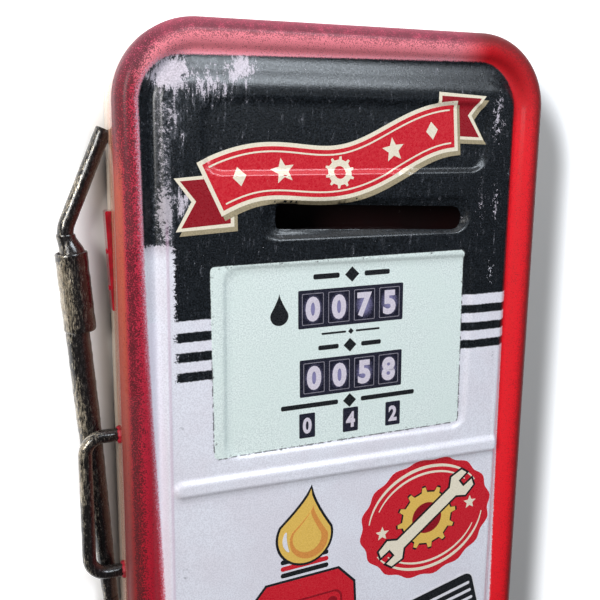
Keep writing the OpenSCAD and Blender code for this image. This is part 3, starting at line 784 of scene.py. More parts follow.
def front_relief(x, z):
    """How far the front stands from the wall inside its rolled border."""
    dx = np.maximum(np.abs(x) - (FRONT_W / 2 - CORNER_R), 0)
    dz = np.maximum(np.abs(z) - (FRONT_H / 2 - CORNER_R), 0)
    run = np.hypot(dx, dz)
    top_share = np.where(z > 0, dz / np.maximum(run, 1e-6), 0)
    shoulder = SIDE_SHOULDER + (TOP_SHOULDER - SIDE_SHOULDER) * top_share ** 2
    v = VALLEY_V + (FACE_V - VALLEY_V) * unit((CORNER_R - run - VALLEY_END) / shoulder)
    for shape in (NAME_PANEL, WINDOW_PRESS, DISH):
        v = v - pressed(x, z, shape)
    half = (RIB["length"] - RIB["width"]) / 2
    off = np.hypot(np.maximum(np.abs(x - RIB["centre"][0]) - half, 0), z - RIB["centre"][1])
    v = v + RIB["rise"] * unit((1 - off / (RIB["width"] / 2 + 0.6)) / 0.66)
    v = v - SLOT_LIP["depth"] * (1 - unit(slot_distance(x, z) / SLOT_LIP["width"]))
    sag = 0.10 * np.sin(x / 29 + 1.1) * np.sin(z / 43 + 0.7) + 0.05 * np.sin(x / 11 - z / 17)
    return v + np.where(run < CORNER_R - 24, sag - 0.12, 0)


def front_ring():
    """The border's outline from its folded edge to the bottom of the valley."""
    fold = 1.3
    ring = [(9, RIM_V), (6.5, RIM_V), (4, RIM_V), (2, RIM_V)]
    ring += arc((fold, RIM_V + fold), fold, 270, 180, 5)
    ring += [(0, RIM_V + fold + k * (BEAD_V - RIM_V - fold) / 4) for k in (1, 2, 3)]
    ring += arc((BEAD_R, BEAD_V), BEAD_R, 180, 45, 15)
    u0, v0 = ring[-1]
    for t in (0.25, 0.5, 0.75, 1.0):
        ring.append((u0 + (VALLEY_END - u0) * t, v0 + (VALLEY_V - v0) * (1 - (1 - t) ** 1.8)))
    return ring


def make_front():
    levels = np.concatenate([np.arange(VALLEY_END + 0.9, 30, 0.9), np.arange(30, CORNER_R - 0.5, 1.2)])
    edge_x, edge_z = FRONT_W / 2 - CORNER_R, FRONT_H / 2 - CORNER_R
    marks_x = [-72, 80, -51, 77, -42, 72.5]
    marks_z = [TOP - d for d in (78, 92.5, 96, 109, 112, 126, 234, 242, 247, 252, 395, 405)]
    inner_x = graded(-edge_x, edge_x, 3.2, 0.9, marks_x, 2.6)
    inner_z = graded(-edge_z, edge_z, 3.4, 0.75, marks_z, 3.4)
    panel = Panel((FRONT_W, FRONT_H), CORNER_R, front_ring(), levels, inner_x, inner_z, front_relief)
    panel.punch(slot_distance)
    panel.punch(lock_distance)
    points, faces, back = panel.solid(-SHEET)
    build("front_panel", points, faces, [front_material, inside_paint_and_shade], "door",
          ["door_skin"], back)
    return panel


front = make_front()


# ---- Printed motifs ----

LAYER = 0.07
FILM_STEP = 1.0
EDGE_CLEARANCE = 0.25
INKS = dict(
    red=((0.56, 0.006, 0.02), (0.70, 0.05, 0.06), 0.55),
    dark_red=((0.26, 0.004, 0.012), (0.36, 0.02, 0.03), 0.5),
    cream=(CREAM, (0.70, 0.62, 0.49), 0.5),
    tan=(TAN, (0.24, 0.20, 0.13), 0.6),
    black=((0.006, 0.007, 0.009), (0.035, 0.037, 0.042), 0.5, 0.35),
    navy=(NAVY, (0.035, 0.035, 0.055), 0.6, 0.15),
    digits=((0.70, 0.64, 0.72), (0.52, 0.47, 0.55), 0.5, 0.0),
    cell_line=((0.30, 0.28, 0.33), (0.14, 0.13, 0.16), 0.6, 0.1),
    white=((0.78, 0.76, 0.80), (0.60, 0.58, 0.63), 0.4, 0.1),
    yellow=(YELLOW, (0.66, 0.40, 0.08), 0.5),
    orange=((0.72, 0.30, 0.07), (0.55, 0.20, 0.05), 0.5),
)
inks = {name: ink_paint("ink_" + name, *look) for name, look in INKS.items()}


def inside_loops(points, loops):
    """Which points lie inside the loops, counting a loop within a loop as a hole."""
    within = np.zeros(len(points), bool)
    for loop in loops:
        for (ax, az), (bx, bz) in zip(loop, np.roll(loop, -1, axis=0)):
            if az != bz:
                spans = (points[:, 1] < max(az, bz)) & (points[:, 1] >= min(az, bz))
                within ^= spans & (points[:, 0] < ax + (points[:, 1] - az) * (bx - ax) / (bz - az))
    return within


def dense(loop):
    """The loop with points added so that no side is longer than a step."""
    made = []
    for a, b in zip(loop, np.roll(loop, -1, axis=0)):
        parts = max(1, math.ceil(math.dist(a, b) / FILM_STEP))
        made += [a + (b - a) * t / parts for t in range(parts)]
    return np.array(made)


def halved(lines):
    """The lines with one more midway between each two."""
    return np.sort(np.concatenate([lines, (lines[1:] + lines[:-1]) / 2]))


def film_grid(loops, cover, lo, hi):
    """The panel's own grid points between two corners, if inside the loops and outside the cover."""
    rows = halved(front.line_z) if hi[1] > DISH["centre"][1] else front.line_z
    gx = front.line_x[(front.line_x > lo[0]) & (front.line_x < hi[0])]
    gz = rows[(rows > lo[1]) & (rows < hi[1])]
    grid = np.array([(x, z) for x in gx for z in gz]).reshape(-1, 2)
    grid = grid[inside_loops(grid, loops) & ~inside_loops(grid, cover)]
    if len(grid):
        edge = np.vstack(loops + cover)
        near = np.min([np.hypot(grid[:, 0] - x, grid[:, 1] - z) for x, z in edge], axis=0)
        grid = grid[near > EDGE_CLEARANCE]
    return grid


def decal(name, loops, ink, layer, cover=()):
    """A film of ink on the pressed front, cut to loops of points, less what the cover's loops hide."""
    loops, cover = ([printed_to_panel(dense(np.asarray(loop, float))) for loop in group]
                    for group in (loops, cover))
    outer = np.vstack(loops)
    grid = film_grid(loops, cover, outer.min(0), outer.max(0))
    edges, first = [], 0
    for loop in loops + cover:
        count = len(loop)
        edges += [(first + i, first + (i + 1) % count) for i in range(count)]
        first += count
    flat = np.vstack(loops + cover + [grid])
    made = delaunay_2d_cdt([Vector(p) for p in flat], edges, [], 0, 1e-6)
    points = np.array([tuple(p) for p in made[0]])
    middles = np.array([points[list(face)].mean(axis=0) for face in made[2]])
    wanted = inside_loops(middles, loops) & ~inside_loops(middles, cover)
    film(name, points, [face for face, kept in zip(made[2], wanted) if kept], ink, layer)


def film(name, flat, faces, ink, layer):
    """A closed film between the panel and its layer's height."""
    x, z = flat[:, 0], flat[:, 1]
    v = np.maximum(front.height(x, z), front_relief(x, z))
    upper = np.column_stack([x, v + LAYER * layer, z])
    lower = np.column_stack([x, v + LAYER * (layer - 1) / 2, z])
    points, made, _ = shell(upper, lower, faces)
    build(name, points, made, [inks[ink]], "door")


def numeral(name, text, centre, height, layer, width, weight):
    """A counter's digit, as a film of ink."""
    data = bpy.data.curves.new(name + "_curve", "FONT")
    data.body = text
    data.align_x, data.align_y = "CENTER", "CENTER"
    data.offset = weight
    data.resolution_u = 4
    holder = bpy.data.objects.new(name + "_curve", data)
    mesh = bpy.data.meshes.new_from_object(holder)
    flat = np.array([v.co[:2] for v in mesh.vertices])
    middle = (flat.min(0) + flat.max(0)) / 2
    scale = height / (flat[:, 1].max() - flat[:, 1].min())
    flat = (flat - middle) * (scale * width, scale) + centre
    faces = [tuple(p.vertices) for p in mesh.polygons]
    bpy.data.objects.remove(holder)
    bpy.data.meshes.remove(mesh)
    bpy.data.curves.remove(data)
    film(name, printed_to_panel(flat), faces, "digits", layer)


def grown(loop, by):
    """The loop moved outwards, by a distance along its corners' mitres."""
    loop = np.asarray(loop, float)
    before, after = loop - np.roll(loop, 1, axis=0), np.roll(loop, -1, axis=0) - loop
    before /= np.linalg.norm(before, axis=1, keepdims=True)
    after /= np.linalg.norm(after, axis=1, keepdims=True)
    n = np.column_stack([before[:, 1] + after[:, 1], -before[:, 0] - after[:, 0]])
    length = np.maximum(np.linalg.norm(n, axis=1, keepdims=True), 1e-6)
    n = n / length * np.minimum(2 / length, 1.7)
    area = np.sum(loop[:, 0] * np.roll(loop[:, 1], -1) - loop[:, 1] * np.roll(loop[:, 0], -1))
    return loop + n * by * (1 if area > 0 else -1)


def placed(points, centre, turn=0.0):
    """Points turned by degrees and moved to a centre."""
    c, s = math.cos(math.radians(turn)), math.sin(math.radians(turn))
    p = np.asarray(points, float)
    return np.column_stack([p[:, 0] * c - p[:, 1] * s, p[:, 0] * s + p[:, 1] * c]) + centre


def mark(name, shapes, centre, ink, layer, turn=0.0):
    """A film of ink from shapes round the origin, turned by degrees and moved to a centre."""
    decal(name, [placed(shape, centre, turn) for shape in shapes], ink, layer)


def outlined(name, shape, ink, layer, rim, rim_ink, shadow=None):
    """A motif with a rim of another ink round it, and a drop shadow."""
    whole = grown(shape, rim)
    if shadow:
        decal(name + "_shadow", [whole + shadow], "tan", layer, [whole])
    decal(name + "_rim", [whole], rim_ink, layer + 1, [shape])
    decal(name, [shape], ink, layer + 2)


def circle(radius, count):
    return np.array(arc((0, 0), radius, 0, 360, count + 1)[:-1])


def rounded(width, height, radius, count=6):
    """A rectangle with round corners of so many points."""
    hx, hz = width / 2 - radius, height / 2 - radius
    points = []
    for cx, cz, start in ((hx, hz, 0), (-hx, hz, 90), (-hx, -hz, 180), (hx, -hz, 270)):
        points += arc((cx, cz), radius, start, start + 90, count)
    return np.array(points)


def star(radius, points=5, depth=0.45):
    turn = [math.pi / 2 + math.pi * k / points for k in range(2 * points)]
    size = [radius if k % 2 == 0 else radius * depth for k in range(2 * points)]
    return np.array([(r * math.cos(a), r * math.sin(a)) for r, a in zip(size, turn)])


def diamond(width, height):
    return np.array([(width / 2, 0), (0, height / 2), (-width / 2, 0), (0, -height / 2)])


def gear(radius, teeth, tooth):
    """A gear's outline. Each tooth takes the first part of its share of the turn."""
    points = []
    for k in range(teeth):
        for share, r in ((0.0, radius), (0.22, radius), (0.32, radius - tooth), (0.9, radius - tooth)):
            a = 2 * math.pi * (k + share) / teeth
            points.append((r * math.cos(a), r * math.sin(a)))
    return np.array(points)


def wrench(length, width):
    """An open ended spanner's outline, its jaws at both ends."""
    head, half = width * 1.25, length / 2
    corners = ((-0.35, 0.4), (0.2, 0.95), (1.1, 0.8), (1.25, 0.35), (0.45, 0.32))
    upper = [(half + head * along, head * across) for along, across in corners]
    jaw = upper + [(x, -z) for x, z in reversed(upper)]
    return np.array(jaw + [(-x, -z) for x, z in jaw])


def drop_shape(width, height):
    """An oil drop: round below, pointed above."""
    low = arc((0, 0), width / 2, -200, 20, 26)
    tip = height - width / 2
    right = []
    for t in (0.3, 0.5, 0.7, 0.88):
        right.append((width / 2 * (1 - t) ** 1.25 * 0.94, tip * t * 0.96 + 0.17 * width * (1 - t)))
    left = [(-x, z) for x, z in reversed(right)]
    return np.array(low + right + [(0, tip)] + left)


def sideways(line):
    """Unit vectors to the left of a line of points."""
    way = np.gradient(line, axis=0)
    way /= np.linalg.norm(way, axis=1, keepdims=True)
    return np.column_stack([-way[:, 1], way[:, 0]])


def swept_band(middle, half):
    """The loop round a band of a half width along a line of points."""
    middle = np.asarray(middle, float)
    across = sideways(middle) * np.broadcast_to(half, len(middle))[:, None]
    return np.vstack([middle + across, (middle - across)[::-1]])


def tapered(width, margin, count, least):
    """Half widths along a stroke that thins towards its ends."""
    return width * np.sin(np.linspace(margin, math.pi - margin, count)) + least


def banner():
    """A waving ribbon with folded, forked ends in place of a name, and ornaments on it."""
    t = np.linspace(0, 1, 61)
    x = -76 + 142 * t
    z = TOP - 86 + 28 * t + 5.5 * np.sin(2 * math.pi * (1.25 * t + 0.08))
    middle = np.column_stack([x, z])
    half = 13.0 - 1.2 * t
    fall = (1.8, -2.4)
    for k, (end, way, lift) in enumerate(((0, -1, -6.5), (-1, 1, 6.0))):
        cx, cz = middle[end] + (0, lift)
        w = half[end] * 0.92
        root, notch, tip = cx - way * 9, cx + way * 9, cx + way * 17
        tail = np.array([(root, cz + w), (root, cz - w), (tip, cz - w - 1.5), (notch, cz),
                         (tip, cz + w - 1.5)])
        outlined(f"banner_tail_{k}", tail, "dark_red", 1, 2.0, "cream", fall)
    outlined("banner_ribbon", swept_band(middle, half), "red", 4, 2.2, "cream", fall)
    for k, side in enumerate((1, -1)):
        line = middle + side * sideways(middle) * (half - 2.6)[:, None]
        decal(f"banner_pinstripe_{k}", [swept_band(line[1:-1], 0.45)], "cream", 7)
    tilt = 9.0
    hub = placed(circle(3.4, 24), (0, 0), -tilt)
    ornaments = ((0.10, "diamond_0", [diamond(7.5, 10)]), (0.27, "star_1", [star(7.0)]),
                 (0.50, "gear", [gear(8.6, 10, 1.7), hub]),
                 (0.73, "star_3", [star(7.0)]), (0.90, "diamond_4", [diamond(7.5, 10)]))
    for share, kind, shapes in ornaments:
        c = (np.interp(share, t, x), np.interp(share, t, z))
        mark("banner_" + kind, shapes, c, "cream", 7, tilt)


def counter(name, digits, centre, pitch, size):
    """A row of number cells, each with a thin light frame."""
    count = len(digits)
    bed = rounded(pitch * (count - 1) + size[0] + 2.8, size[1] + 2.2, 0.8)
    mark(name + "_bed", [bed], centre, "navy", 1)
    left = (centre[0] - pitch * count / 2, centre[1])
    inks[name] = cell_paint(name + "_cells", left, pitch)
    outer, inner = rounded(size[0] - 1.6, size[1] - 1.6, 0.7), rounded(size[0] - 2.4, size[1] - 2.4, 0.5)
    for k, digit in enumerate(digits):
        c = (centre[0] + pitch * (k - (count - 1) / 2), centre[1])
        mark(f"{name}_{k}_frame", [outer, inner], c, "cell_line", 2)
        mark(f"{name}_{k}_plate", [inner], c, name, 2)
        numeral(f"{name}_{k}_digit", digit, c, 14.2, 3, 0.92, 0.045)


def bar(name, centre, width, height):
    """A plain rule with a diamond in its middle, in place of a line of words."""
    gap = height * 1.1
    length = (width - 2 * gap) / 2
    rule = rounded(length, height * 0.42, height * 0.15)
    for k, side in enumerate((-1, 1)):
        mark(f"{name}_rule_{k}", [rule], (centre[0] + side * (gap + length / 2), centre[1]), "black", 1)
    mark(name + "_diamond", [diamond(height * 1.25, height * 1.25)], centre, "black", 1)


def window_print():
    """Two counters and a row of three digits, with rules between them and a drop as price mark."""
    bar("rule_upper", (3.5, TOP - 134), 47, 7.0)
    counter("counter_upper", "0075", (3.4, TOP - 152), 15.8, (14.6, 19.5))
    bar("rule_small", (3, TOP - 166.8), 36, 2.8)
    bar("rule_middle", (2.5, TOP - 174.8), 39, 6.4)
    counter("counter_lower", "0058", (3.8, TOP - 191.8), 15.6, (14.4, 19.5))
    bar("rule_lower", (2.5, TOP - 207.8), 84, 6.6)
    for k, (digit, x) in enumerate((("0", -23.8), ("4", 3.2), ("2", 30.6))):
        c = (x, TOP - 219.6)
        mark(f"small_cell_{k}_bed", [rounded(9.6, 14.6, 0.7)], c, "navy", 1)
        numeral(f"small_cell_{k}_digit", digit, c, 9.6, 2, 0.85, 0.04)
    mark("price_mark", [drop_shape(10.5, 18.0)], (-40, TOP - 154.5), "black", 1)


def badge():
    """A scalloped badge with cream arcs round a gear and a spanner."""
    c, tilt = np.array((55.0, TOP - 290.5)), 9
    turns = np.radians(np.arange(0, 360, 3.0))
    wave = 1 + 0.022 * np.cos(16 * turns)
    plate = np.column_stack([45.0 * wave * np.cos(turns), 38.5 * wave * np.sin(turns)])
    mark("badge_plate", [plate], c, "red", 1, tilt)
    arcs = ((40, 33.5, 25, 165, 0.8), (40, 33.5, 205, 345, 0.8),
            (36, 29.5, 35, 150, 0.5), (36, 29.5, 215, 330, 0.5))
    for k, (rx, rz, start, end, half) in enumerate(arcs):
        a = np.radians(np.linspace(start, end, 40))
        line = np.column_stack([rx * np.cos(a), rz * np.sin(a)])
        mark(f"badge_arc_{k}", [swept_band(line, tapered(half, 0.12, 40, 0.25))], c, "cream", 2, tilt)
    hub, spanner = circle(10.2, 36), wrench(52, 7.2)
    mark("badge_gear_rim", [gear(21.5, 12, 3.4)], c, "black", 2, 4)
    decal("badge_gear", [placed(gear(20.3, 12, 3.3), c, 4), placed(hub, c)], "yellow", 3)
    mark("badge_hub", [hub], c, "dark_red", 3)
    mark("badge_spanner_rim", [grown(spanner, 1.3)], c, "black", 4, 38)
    mark("badge_spanner", [spanner], c, "cream", 5, 38)
    for k, side in enumerate((-1, 1)):
        mark(f"badge_star_{k}", [star(4.6)], placed([(side * 31.0, 0)], c, tilt)[0], "cream", 3)


def oil_drop():
    """A golden drop with a shaded side and a glint."""
    c, tilt = (-26, TOP - 287), -8
    outlined("oil_drop", placed(drop_shape(33, 46), c, tilt), "yellow", 1, 1.5, "black")
    mark("oil_drop_shade", [drop_shape(24, 33)], (-23.4, TOP - 289.0), "orange", 4, tilt)
    mark("oil_drop_light", [drop_shape(18, 26)], (-24.6, TOP - 287.8), "yellow", 5, tilt)
    glint = swept_band(arc((0, 0), 12.5, 165, 225, 16), tapered(1.2, 0.2, 16, 0.2))
    mark("oil_drop_glint", [glint], c, "white", 6, tilt)


def fuel_can():
    """A red fuel can with a pressed cross, a triple handle and a light edge."""
    c, tilt = np.array((-24.0, TOP - 346.0)), 3
    face = c + (0, -5)
    body = [(-29, -36), (29, -36), (30.5, -34), (30.5, 22), (21, 33), (-24, 33), (-30.5, 26), (-30.5, -34)]
    outlined("can_body", placed(body, c, tilt), "red", 1, 1.5, "black")
    mark("can_press_line", [rounded(46, 50, 5), rounded(43.6, 47.6, 4.4)], face, "dark_red", 4, tilt)
    for k, turn in enumerate((47, 133)):
        mark(f"can_cross_{k}", [rounded(55, 6.4, 3.0)], face, "dark_red", 4 + k, tilt + turn)
    for k, ink in enumerate(("black", "red", "black")):
        mark(f"can_handle_{k}", [rounded(30, 3.0, 1.4)], c + (-2, 37.5 + 4.2 * k), ink, 1, tilt)
    mark("can_shine", [rounded(2.4, 40, 1.1)], c + (-26.4, -6), "cream", 4, tilt)


def piston():
    """A piston and its rod: black with white ring grooves."""
    c, tilt = np.array((65.0, TOP - 372.0)), 14

    def part(name, shapes, offset, ink="white"):
        mark(name, [placed(shape, offset) for shape in shapes], c, ink, 4, tilt)

    outlined("piston_body", placed(rounded(64, 62, 5), c, tilt), "black", 1, 1.2, "white")
    for k, height in enumerate((24.0, 18.5, 13.0, 7.5)):
        part(f"piston_groove_{k}", [rounded(59, 2.0, 0.9)], (0, height))
    part("piston_pin", [circle(10.5, 36), circle(7.6, 30)], (0, -12))
    for k, x in enumerate((-27, -22.5, 25.5)):
        part(f"piston_light_{k}", [rounded(1.5, 26, 0.7)], (x, -12))
    rod = [(-6, -28), (6, -28), (9.5, -70), (-9.5, -70)]
    outlined("piston_rod", placed(rod, c, tilt), "dark_red", 1, 1.2, "black")
    part("rod_line", [rounded(3.4, 30, 1.6)], (0, -50), "black")


def base_band():
    """Two rows of checks between rules, low on the front."""
    top, size, start, end = TOP - 486.0, 9.8, -98.5, 102
    for row in range(2):
        for k in range(11):
            x = start + size / 2 + size * (2 * k + row)
            if x < end:
                mark(f"check_{row}_{k}", [rounded(size, size, 0.3, 2)], (x, top - size * row), "black", 1)
    for k, z in enumerate((top + 9.0, top - 19.0)):
        mark(f"check_rule_{k}", [rounded(198, 3.0, 1.0)], (0.5, z), "red", 1)


banner()
window_print()
badge()
oil_drop()
fuel_can()
piston()
base_band()


# ---- Cabinet body ----

def outline(width, height, corner, inset, per_side, per_corner):
    """Points round an upright rectangle with round corners, set in from its outline."""
    radius = corner - inset
    cx, cz = width / 2 - corner, height / 2 - corner
    corners = [(cx, cz, 0), (-cx, cz, 90), (-cx, -cz, 180), (cx, -cz, 270)]
    points = []
    for k, (ox, oz, start) in enumerate(corners):
        points += arc((ox, oz), radius, start, start + 90, per_corner)
        nx, nz, turn = corners[(k + 1) % 4]
        a, b = points[-1], arc((nx, nz), radius, turn, turn, 1)[0]
        sides = per_side * (1 if k % 2 == 0 else 2)
        points += [(a[0] + (b[0] - a[0]) * t / sides, a[1] + (b[1] - a[1]) * t / sides)
                   for t in range(1, sides)]
    return np.array(points)


def joined(count, rings, closed):
    """Faces between rings of so many points, back to the first ring if closed."""
    faces = []
    for k in range(rings if closed else rings - 1):
        for i in range(count):
            j, m = (i + 1) % count, (k + 1) % rings
            faces.append((k * count + i, k * count + j, m * count + j, m * count + i))
    return faces


def dented(flat, v):
    """The side wall's outline at a depth, as uneven as folded sheet is."""
    depth = math.sin(math.pi * min(v / WALL_V, 1.0))
    push = -0.09 * depth * (1 + np.sin(flat[:, 1] / 37) * np.cos(flat[:, 0] / 23 + flat[:, 1] / 61))
    return flat + flat / np.linalg.norm(flat, axis=1, keepdims=True) * push[:, None]


def make_side_wall():
    """The folded side wall, with round folds at its mouth and a hemmed lip."""
    t, bend, lip = 1.0, 1.7, 12.0
    v = WALL_V
    profile = [(0, 0.15), (0, 1.5), (0, 5), (0, 10), (0, 15), (0, 20), (0, v - bend)]
    profile += arc((bend, v - bend), bend, 180, 90, 6)[1:]
    profile += [(5, v), (8.5, v), (lip - t / 2, v)]
    profile += arc((lip - t / 2, v - t / 2), t / 2, 90, -90, 6)[1:]
    profile += [(8.5, v - t), (5, v - t)]
    profile += arc((bend, v - bend), bend - t, 90, 180, 5)
    profile += [(t, 20), (t, 10), (t, 1.5), (t, 0.15), (t * 0.85, 0), (t * 0.15, 0)]
    rings = []
    for inset, place in profile:
        flat = dented(outline(2 * WALL_X, 2 * wall_hi.z, CORNER_R - 0.5, inset, 14, 14), place)
        rings.append(np.column_stack([flat[:, 0], np.full(len(flat), place), flat[:, 1]]))
    faces = joined(len(rings[0]), len(rings), True)
    build("side_wall", np.vstack(rings), faces, [wall_material], "cabinet", ["body_shell"])


FIX_X, FIX_Z = 70.0, 230.0
BACK_BEAD = dict(size=(150, 330), radius=26, width=9, rise=1.6)


def fixing_distance(x, z):
    """Distance from the nearest of the two keyholes and the two screw holes."""
    ax = np.abs(x) - FIX_X
    entry = np.hypot(ax, z - FIX_Z) - 4.5
    way = np.hypot(ax, z - np.clip(z, FIX_Z, FIX_Z + 10)) - 2.25
    screw = np.hypot(ax, z + FIX_Z) - 2.25
    return np.minimum(np.minimum(entry, way), screw)


def back_relief(x, z):
    """The back lies on the wall, with a pressed frame, a cross rib and dimples that stand off it."""
    d = round_box(x, z, (0, 0), BACK_BEAD["size"], BACK_BEAD["radius"])
    bead = 1 - unit(np.abs(d) / (BACK_BEAD["width"] / 2))
    bar = np.hypot(np.maximum(np.abs(x) - 38, 0), z)
    bead = np.maximum(bead, 1 - unit(bar / (BACK_BEAD["width"] / 2)))
    holes = np.hypot(np.abs(x) - FIX_X, np.abs(z - 5 * (z > 0)) - FIX_Z)
    dimple = 0.7 * (1 - unit((holes - 9.5) / 3.0))
    spot = np.hypot((x + 20) % 40 - 20, np.abs(z) - (FRONT_H / 2 - 9))
    weld = 0.25 * (1 - unit((spot - 1.4) / 1.2))
    return BACK_BEAD["rise"] * bead + dimple + weld


def make_back():
    """The back tray: its flange runs forwards inside the side wall."""
    size = (back_hi.x - back_lo.x, back_hi.z - back_lo.z)
    corner = CORNER_R - 1.6
    flange, bend = back_hi.y, 1.8
    ring = [(0, flange), (0, flange * 0.75), (0, flange * 0.5), (0, bend + 1.2)]
    ring += arc((bend, bend), bend, 180, 270, 7)
    levels = np.concatenate([np.arange(3, 16, 1.6), np.arange(16, corner - 0.5, 1.5)])
    edge_x, edge_z = size[0] / 2 - corner, size[1] / 2 - corner
    marks_x = [s * x for s in (-1, 1) for x in (FIX_X, 75, 71, 79)]
    marks_z = [s * z for s in (-1, 1) for z in (FIX_Z, FIX_Z + 5, FIX_Z - 8, 165)] + [0, 235]
    inner_x = graded(-edge_x, edge_x, 4.0, 0.9, marks_x, 6.5)
    inner_z = graded(-edge_z, edge_z, 4.5, 0.9, marks_z, 7.0)
    panel = Panel(size, corner, ring, levels, inner_x, inner_z, back_relief)
    panel.punch(fixing_distance)
    points, faces, inner = panel.solid(0.9)
    build("back_tray", points, faces, [back_material, inside_paint_and_shade], "cabinet",
          ["back_panel"], inner)


make_side_wall()
make_back()


# ---- Nozzle and holder ----

BEND = np.array([-148.0, 8.7, TOP - 107])
LEAN, SLOPE = math.radians(4.4), math.radians(23)
DOWN = np.array([math.sin(LEAN), 0, -math.cos(LEAN)])
UP = np.array([math.sin(SLOPE), 0, math.cos(SLOPE)])
BEND_R = 16.0
ROD_R = 4.3
SLEEVE_INNER_R = 7.3
GRIP_R = 6.4
# Gap that keeps a piece clear of the one beside it
CLEAR = 0.05
LEAD = BEND_R * math.tan((LEAN + SLOPE) / 2)


def nozzle_line(s):
    """Point and direction of the nozzle's middle line, s down from the bend or up it if negative."""
    if s >= LEAD:
        return BEND + DOWN * s, DOWN
    if s <= -LEAD:
        return BEND - UP * s, -UP
    t = (s + LEAD) / (2 * LEAD)
    start, end = BEND + UP * LEAD, BEND + DOWN * LEAD
    point = start * (1 - t) ** 2 + BEND * 2 * t * (1 - t) + end * t ** 2
    way = (BEND - start) * (1 - t) + (end - BEND) * t
    return point, way / np.linalg.norm(way)


def ripple(s, turn, size, seed):
    """A smooth hammered unevenness over a round piece, from its length and its angle."""
    return size * (np.sin(s * 0.61 + 2 * turn + seed) * np.cos(s * 0.23 - turn + 2 * seed)
                   + 0.5 * np.sin(s * 1.7 + 3 * turn + 3 * seed))


def spun(name, line, profile, node, seed, sides=40, hammered=0.07, shift=None, trim_x=None):
    """Rings of (s, radius) along a line, closed at both ends. trim_x keeps it clear of the side wall."""
    rings = []
    turns = np.linspace(0, 2 * math.pi, sides, endpoint=False)
    for s, radius in profile:
        point, way = line(s)
        across = np.array([0.0, 1.0, 0.0])
        other = np.cross(way, across)
        r = radius + (ripple(s, turns, hammered, seed) if radius > 1 else 0)
        r = np.broadcast_to(r, turns.shape)[:, None]
        ring = point + r * (np.cos(turns)[:, None] * across + np.sin(turns)[:, None] * other)
        if shift is not None:
            ring = ring + shift(s)
        if trim_x is not None:
            slide_way = way if abs(way[0]) > 0.3 else np.array([1.0, 0, 0])
            slide = np.maximum(ring[:, 0] - trim_x, 0) / slide_way[0]
            ring = ring - slide[:, None] * slide_way
        rings.append(ring)
    faces = [tuple(range(sides))[::-1], tuple((len(rings) - 1) * sides + i for i in range(sides))]
    faces += joined(sides, len(rings), False)
    build(name, np.vstack(rings), faces, [black_metal], "cabinet", [node])


def run(start, end, step):
    """Places from start to end, at most a step apart."""
    return np.linspace(start, end, max(2, int(abs(end - start) / step) + 1))


def make_nozzle():
    wall_x = -WALL_X - CLEAR
    spout = [(-56.0, 0.6), (-56.0, 3.2), (-56.0, 4.0)]
    spout += [(s, ROD_R) for s in run(-55.4, 17, 2.0)]
    spout += [(17.2, 3.6), (17.2, 0.6)]
    spun("spout_tube", nozzle_line, spout, "nozzle_spout", 0.4, trim_x=wall_x)

    def shoulder_shift(s):
        return np.array([2.3 * float(unit((s - 3) / 10)), 0, 0])

    neck = [(3.2, 4.36), (3.0, 4.75), (3.6, 5.05)]
    neck += [(s, 5.0 + 1.9 * float(unit((s - 4) / 11))) for s in run(4, 16, 1.0)]
    neck += [(16.0, 6.6), (12, 4.4)]
    spun("sleeve_shoulder", nozzle_line, neck, "nozzle_shoulder", 1.7, hammered=0.05, shift=shoulder_shift)
    inner = SLEEVE_INNER_R
    sleeve = [(50, 0.6), (50, inner - 0.8), (49.2, inner)] + [(s, inner) for s in run(48, 14.2, 4)]
    sleeve += [(13.3, inner + 0.1), (12.9, 7.75), (13.1, 8.35), (13.8, 8.62), (15, 8.5)]
    sleeve += [(s, 8.45 + 0.1 * math.sin(s * 0.5)) for s in run(17, 52, 1.6)]
    sleeve += [(54.2, 8.55), (55.2, 8.4), (55.9, 7.9), (56, 6.9), (56, 0.6)]
    spun("nozzle_sleeve_tube", nozzle_line, sleeve, "nozzle_sleeve", 2.9, sides=48, hammered=0.11,
         shift=lambda s: np.array([1.6, 0, 0.12]))
    grip = [(56.1, 0.6), (56.1, 6.2), (57.2, GRIP_R)]
    grip += [(s, GRIP_R - 2.05 * max(0.0, (s - 106) / 110)) for s in run(59, 214, 2.2)]
    grip += [(215.6, 4.2), (216, 0.6)]
    spun("nozzle_grip_bar", nozzle_line, grip, "nozzle_grip", 3.3, hammered=0.12)
    tail = [(216.1, 0.6), (216.1, 4.1), (216.8, ROD_R)]
    tail += [(s, ROD_R) for s in run(218, 279, 2.5)] + [(281, 3.9), (282, 0.6)]
    spun("nozzle_tail_rod", nozzle_line, tail, "nozzle_tail", 4.1, trim_x=wall_x)


HOLDER_R = 3.75
HOLDER_V = BEND[1] + GRIP_R + HOLDER_R + CLEAR
HOLDER_TOP = TOP - 220.5
HOLDER_SPAN = 81.0
HOLDER_REACH = 19.0


def holder_points():
    """The holder rod's middle line: out from the wall, down and back to it."""
    x0, r = -WALL_X - HOLDER_REACH, 10.0
    low = HOLDER_TOP - HOLDER_SPAN
    points = [(x, HOLDER_TOP) for x in np.linspace(-WALL_X - 2 * CLEAR, x0 + r, 6)]
    points += arc((x0 + r, HOLDER_TOP - r), r, 90, 180, 12)[1:]
    points += [(x0, z) for z in np.linspace(HOLDER_TOP - r, low + r, 24)[1:]]
    points += arc((x0 + r, low + r), r, 180, 270, 12)[1:]
    points += [(x, low) for x in np.linspace(x0 + r, -WALL_X - 2 * CLEAR, 6)[1:]]
    return np.array([(x, HOLDER_V, z) for x, z in points])


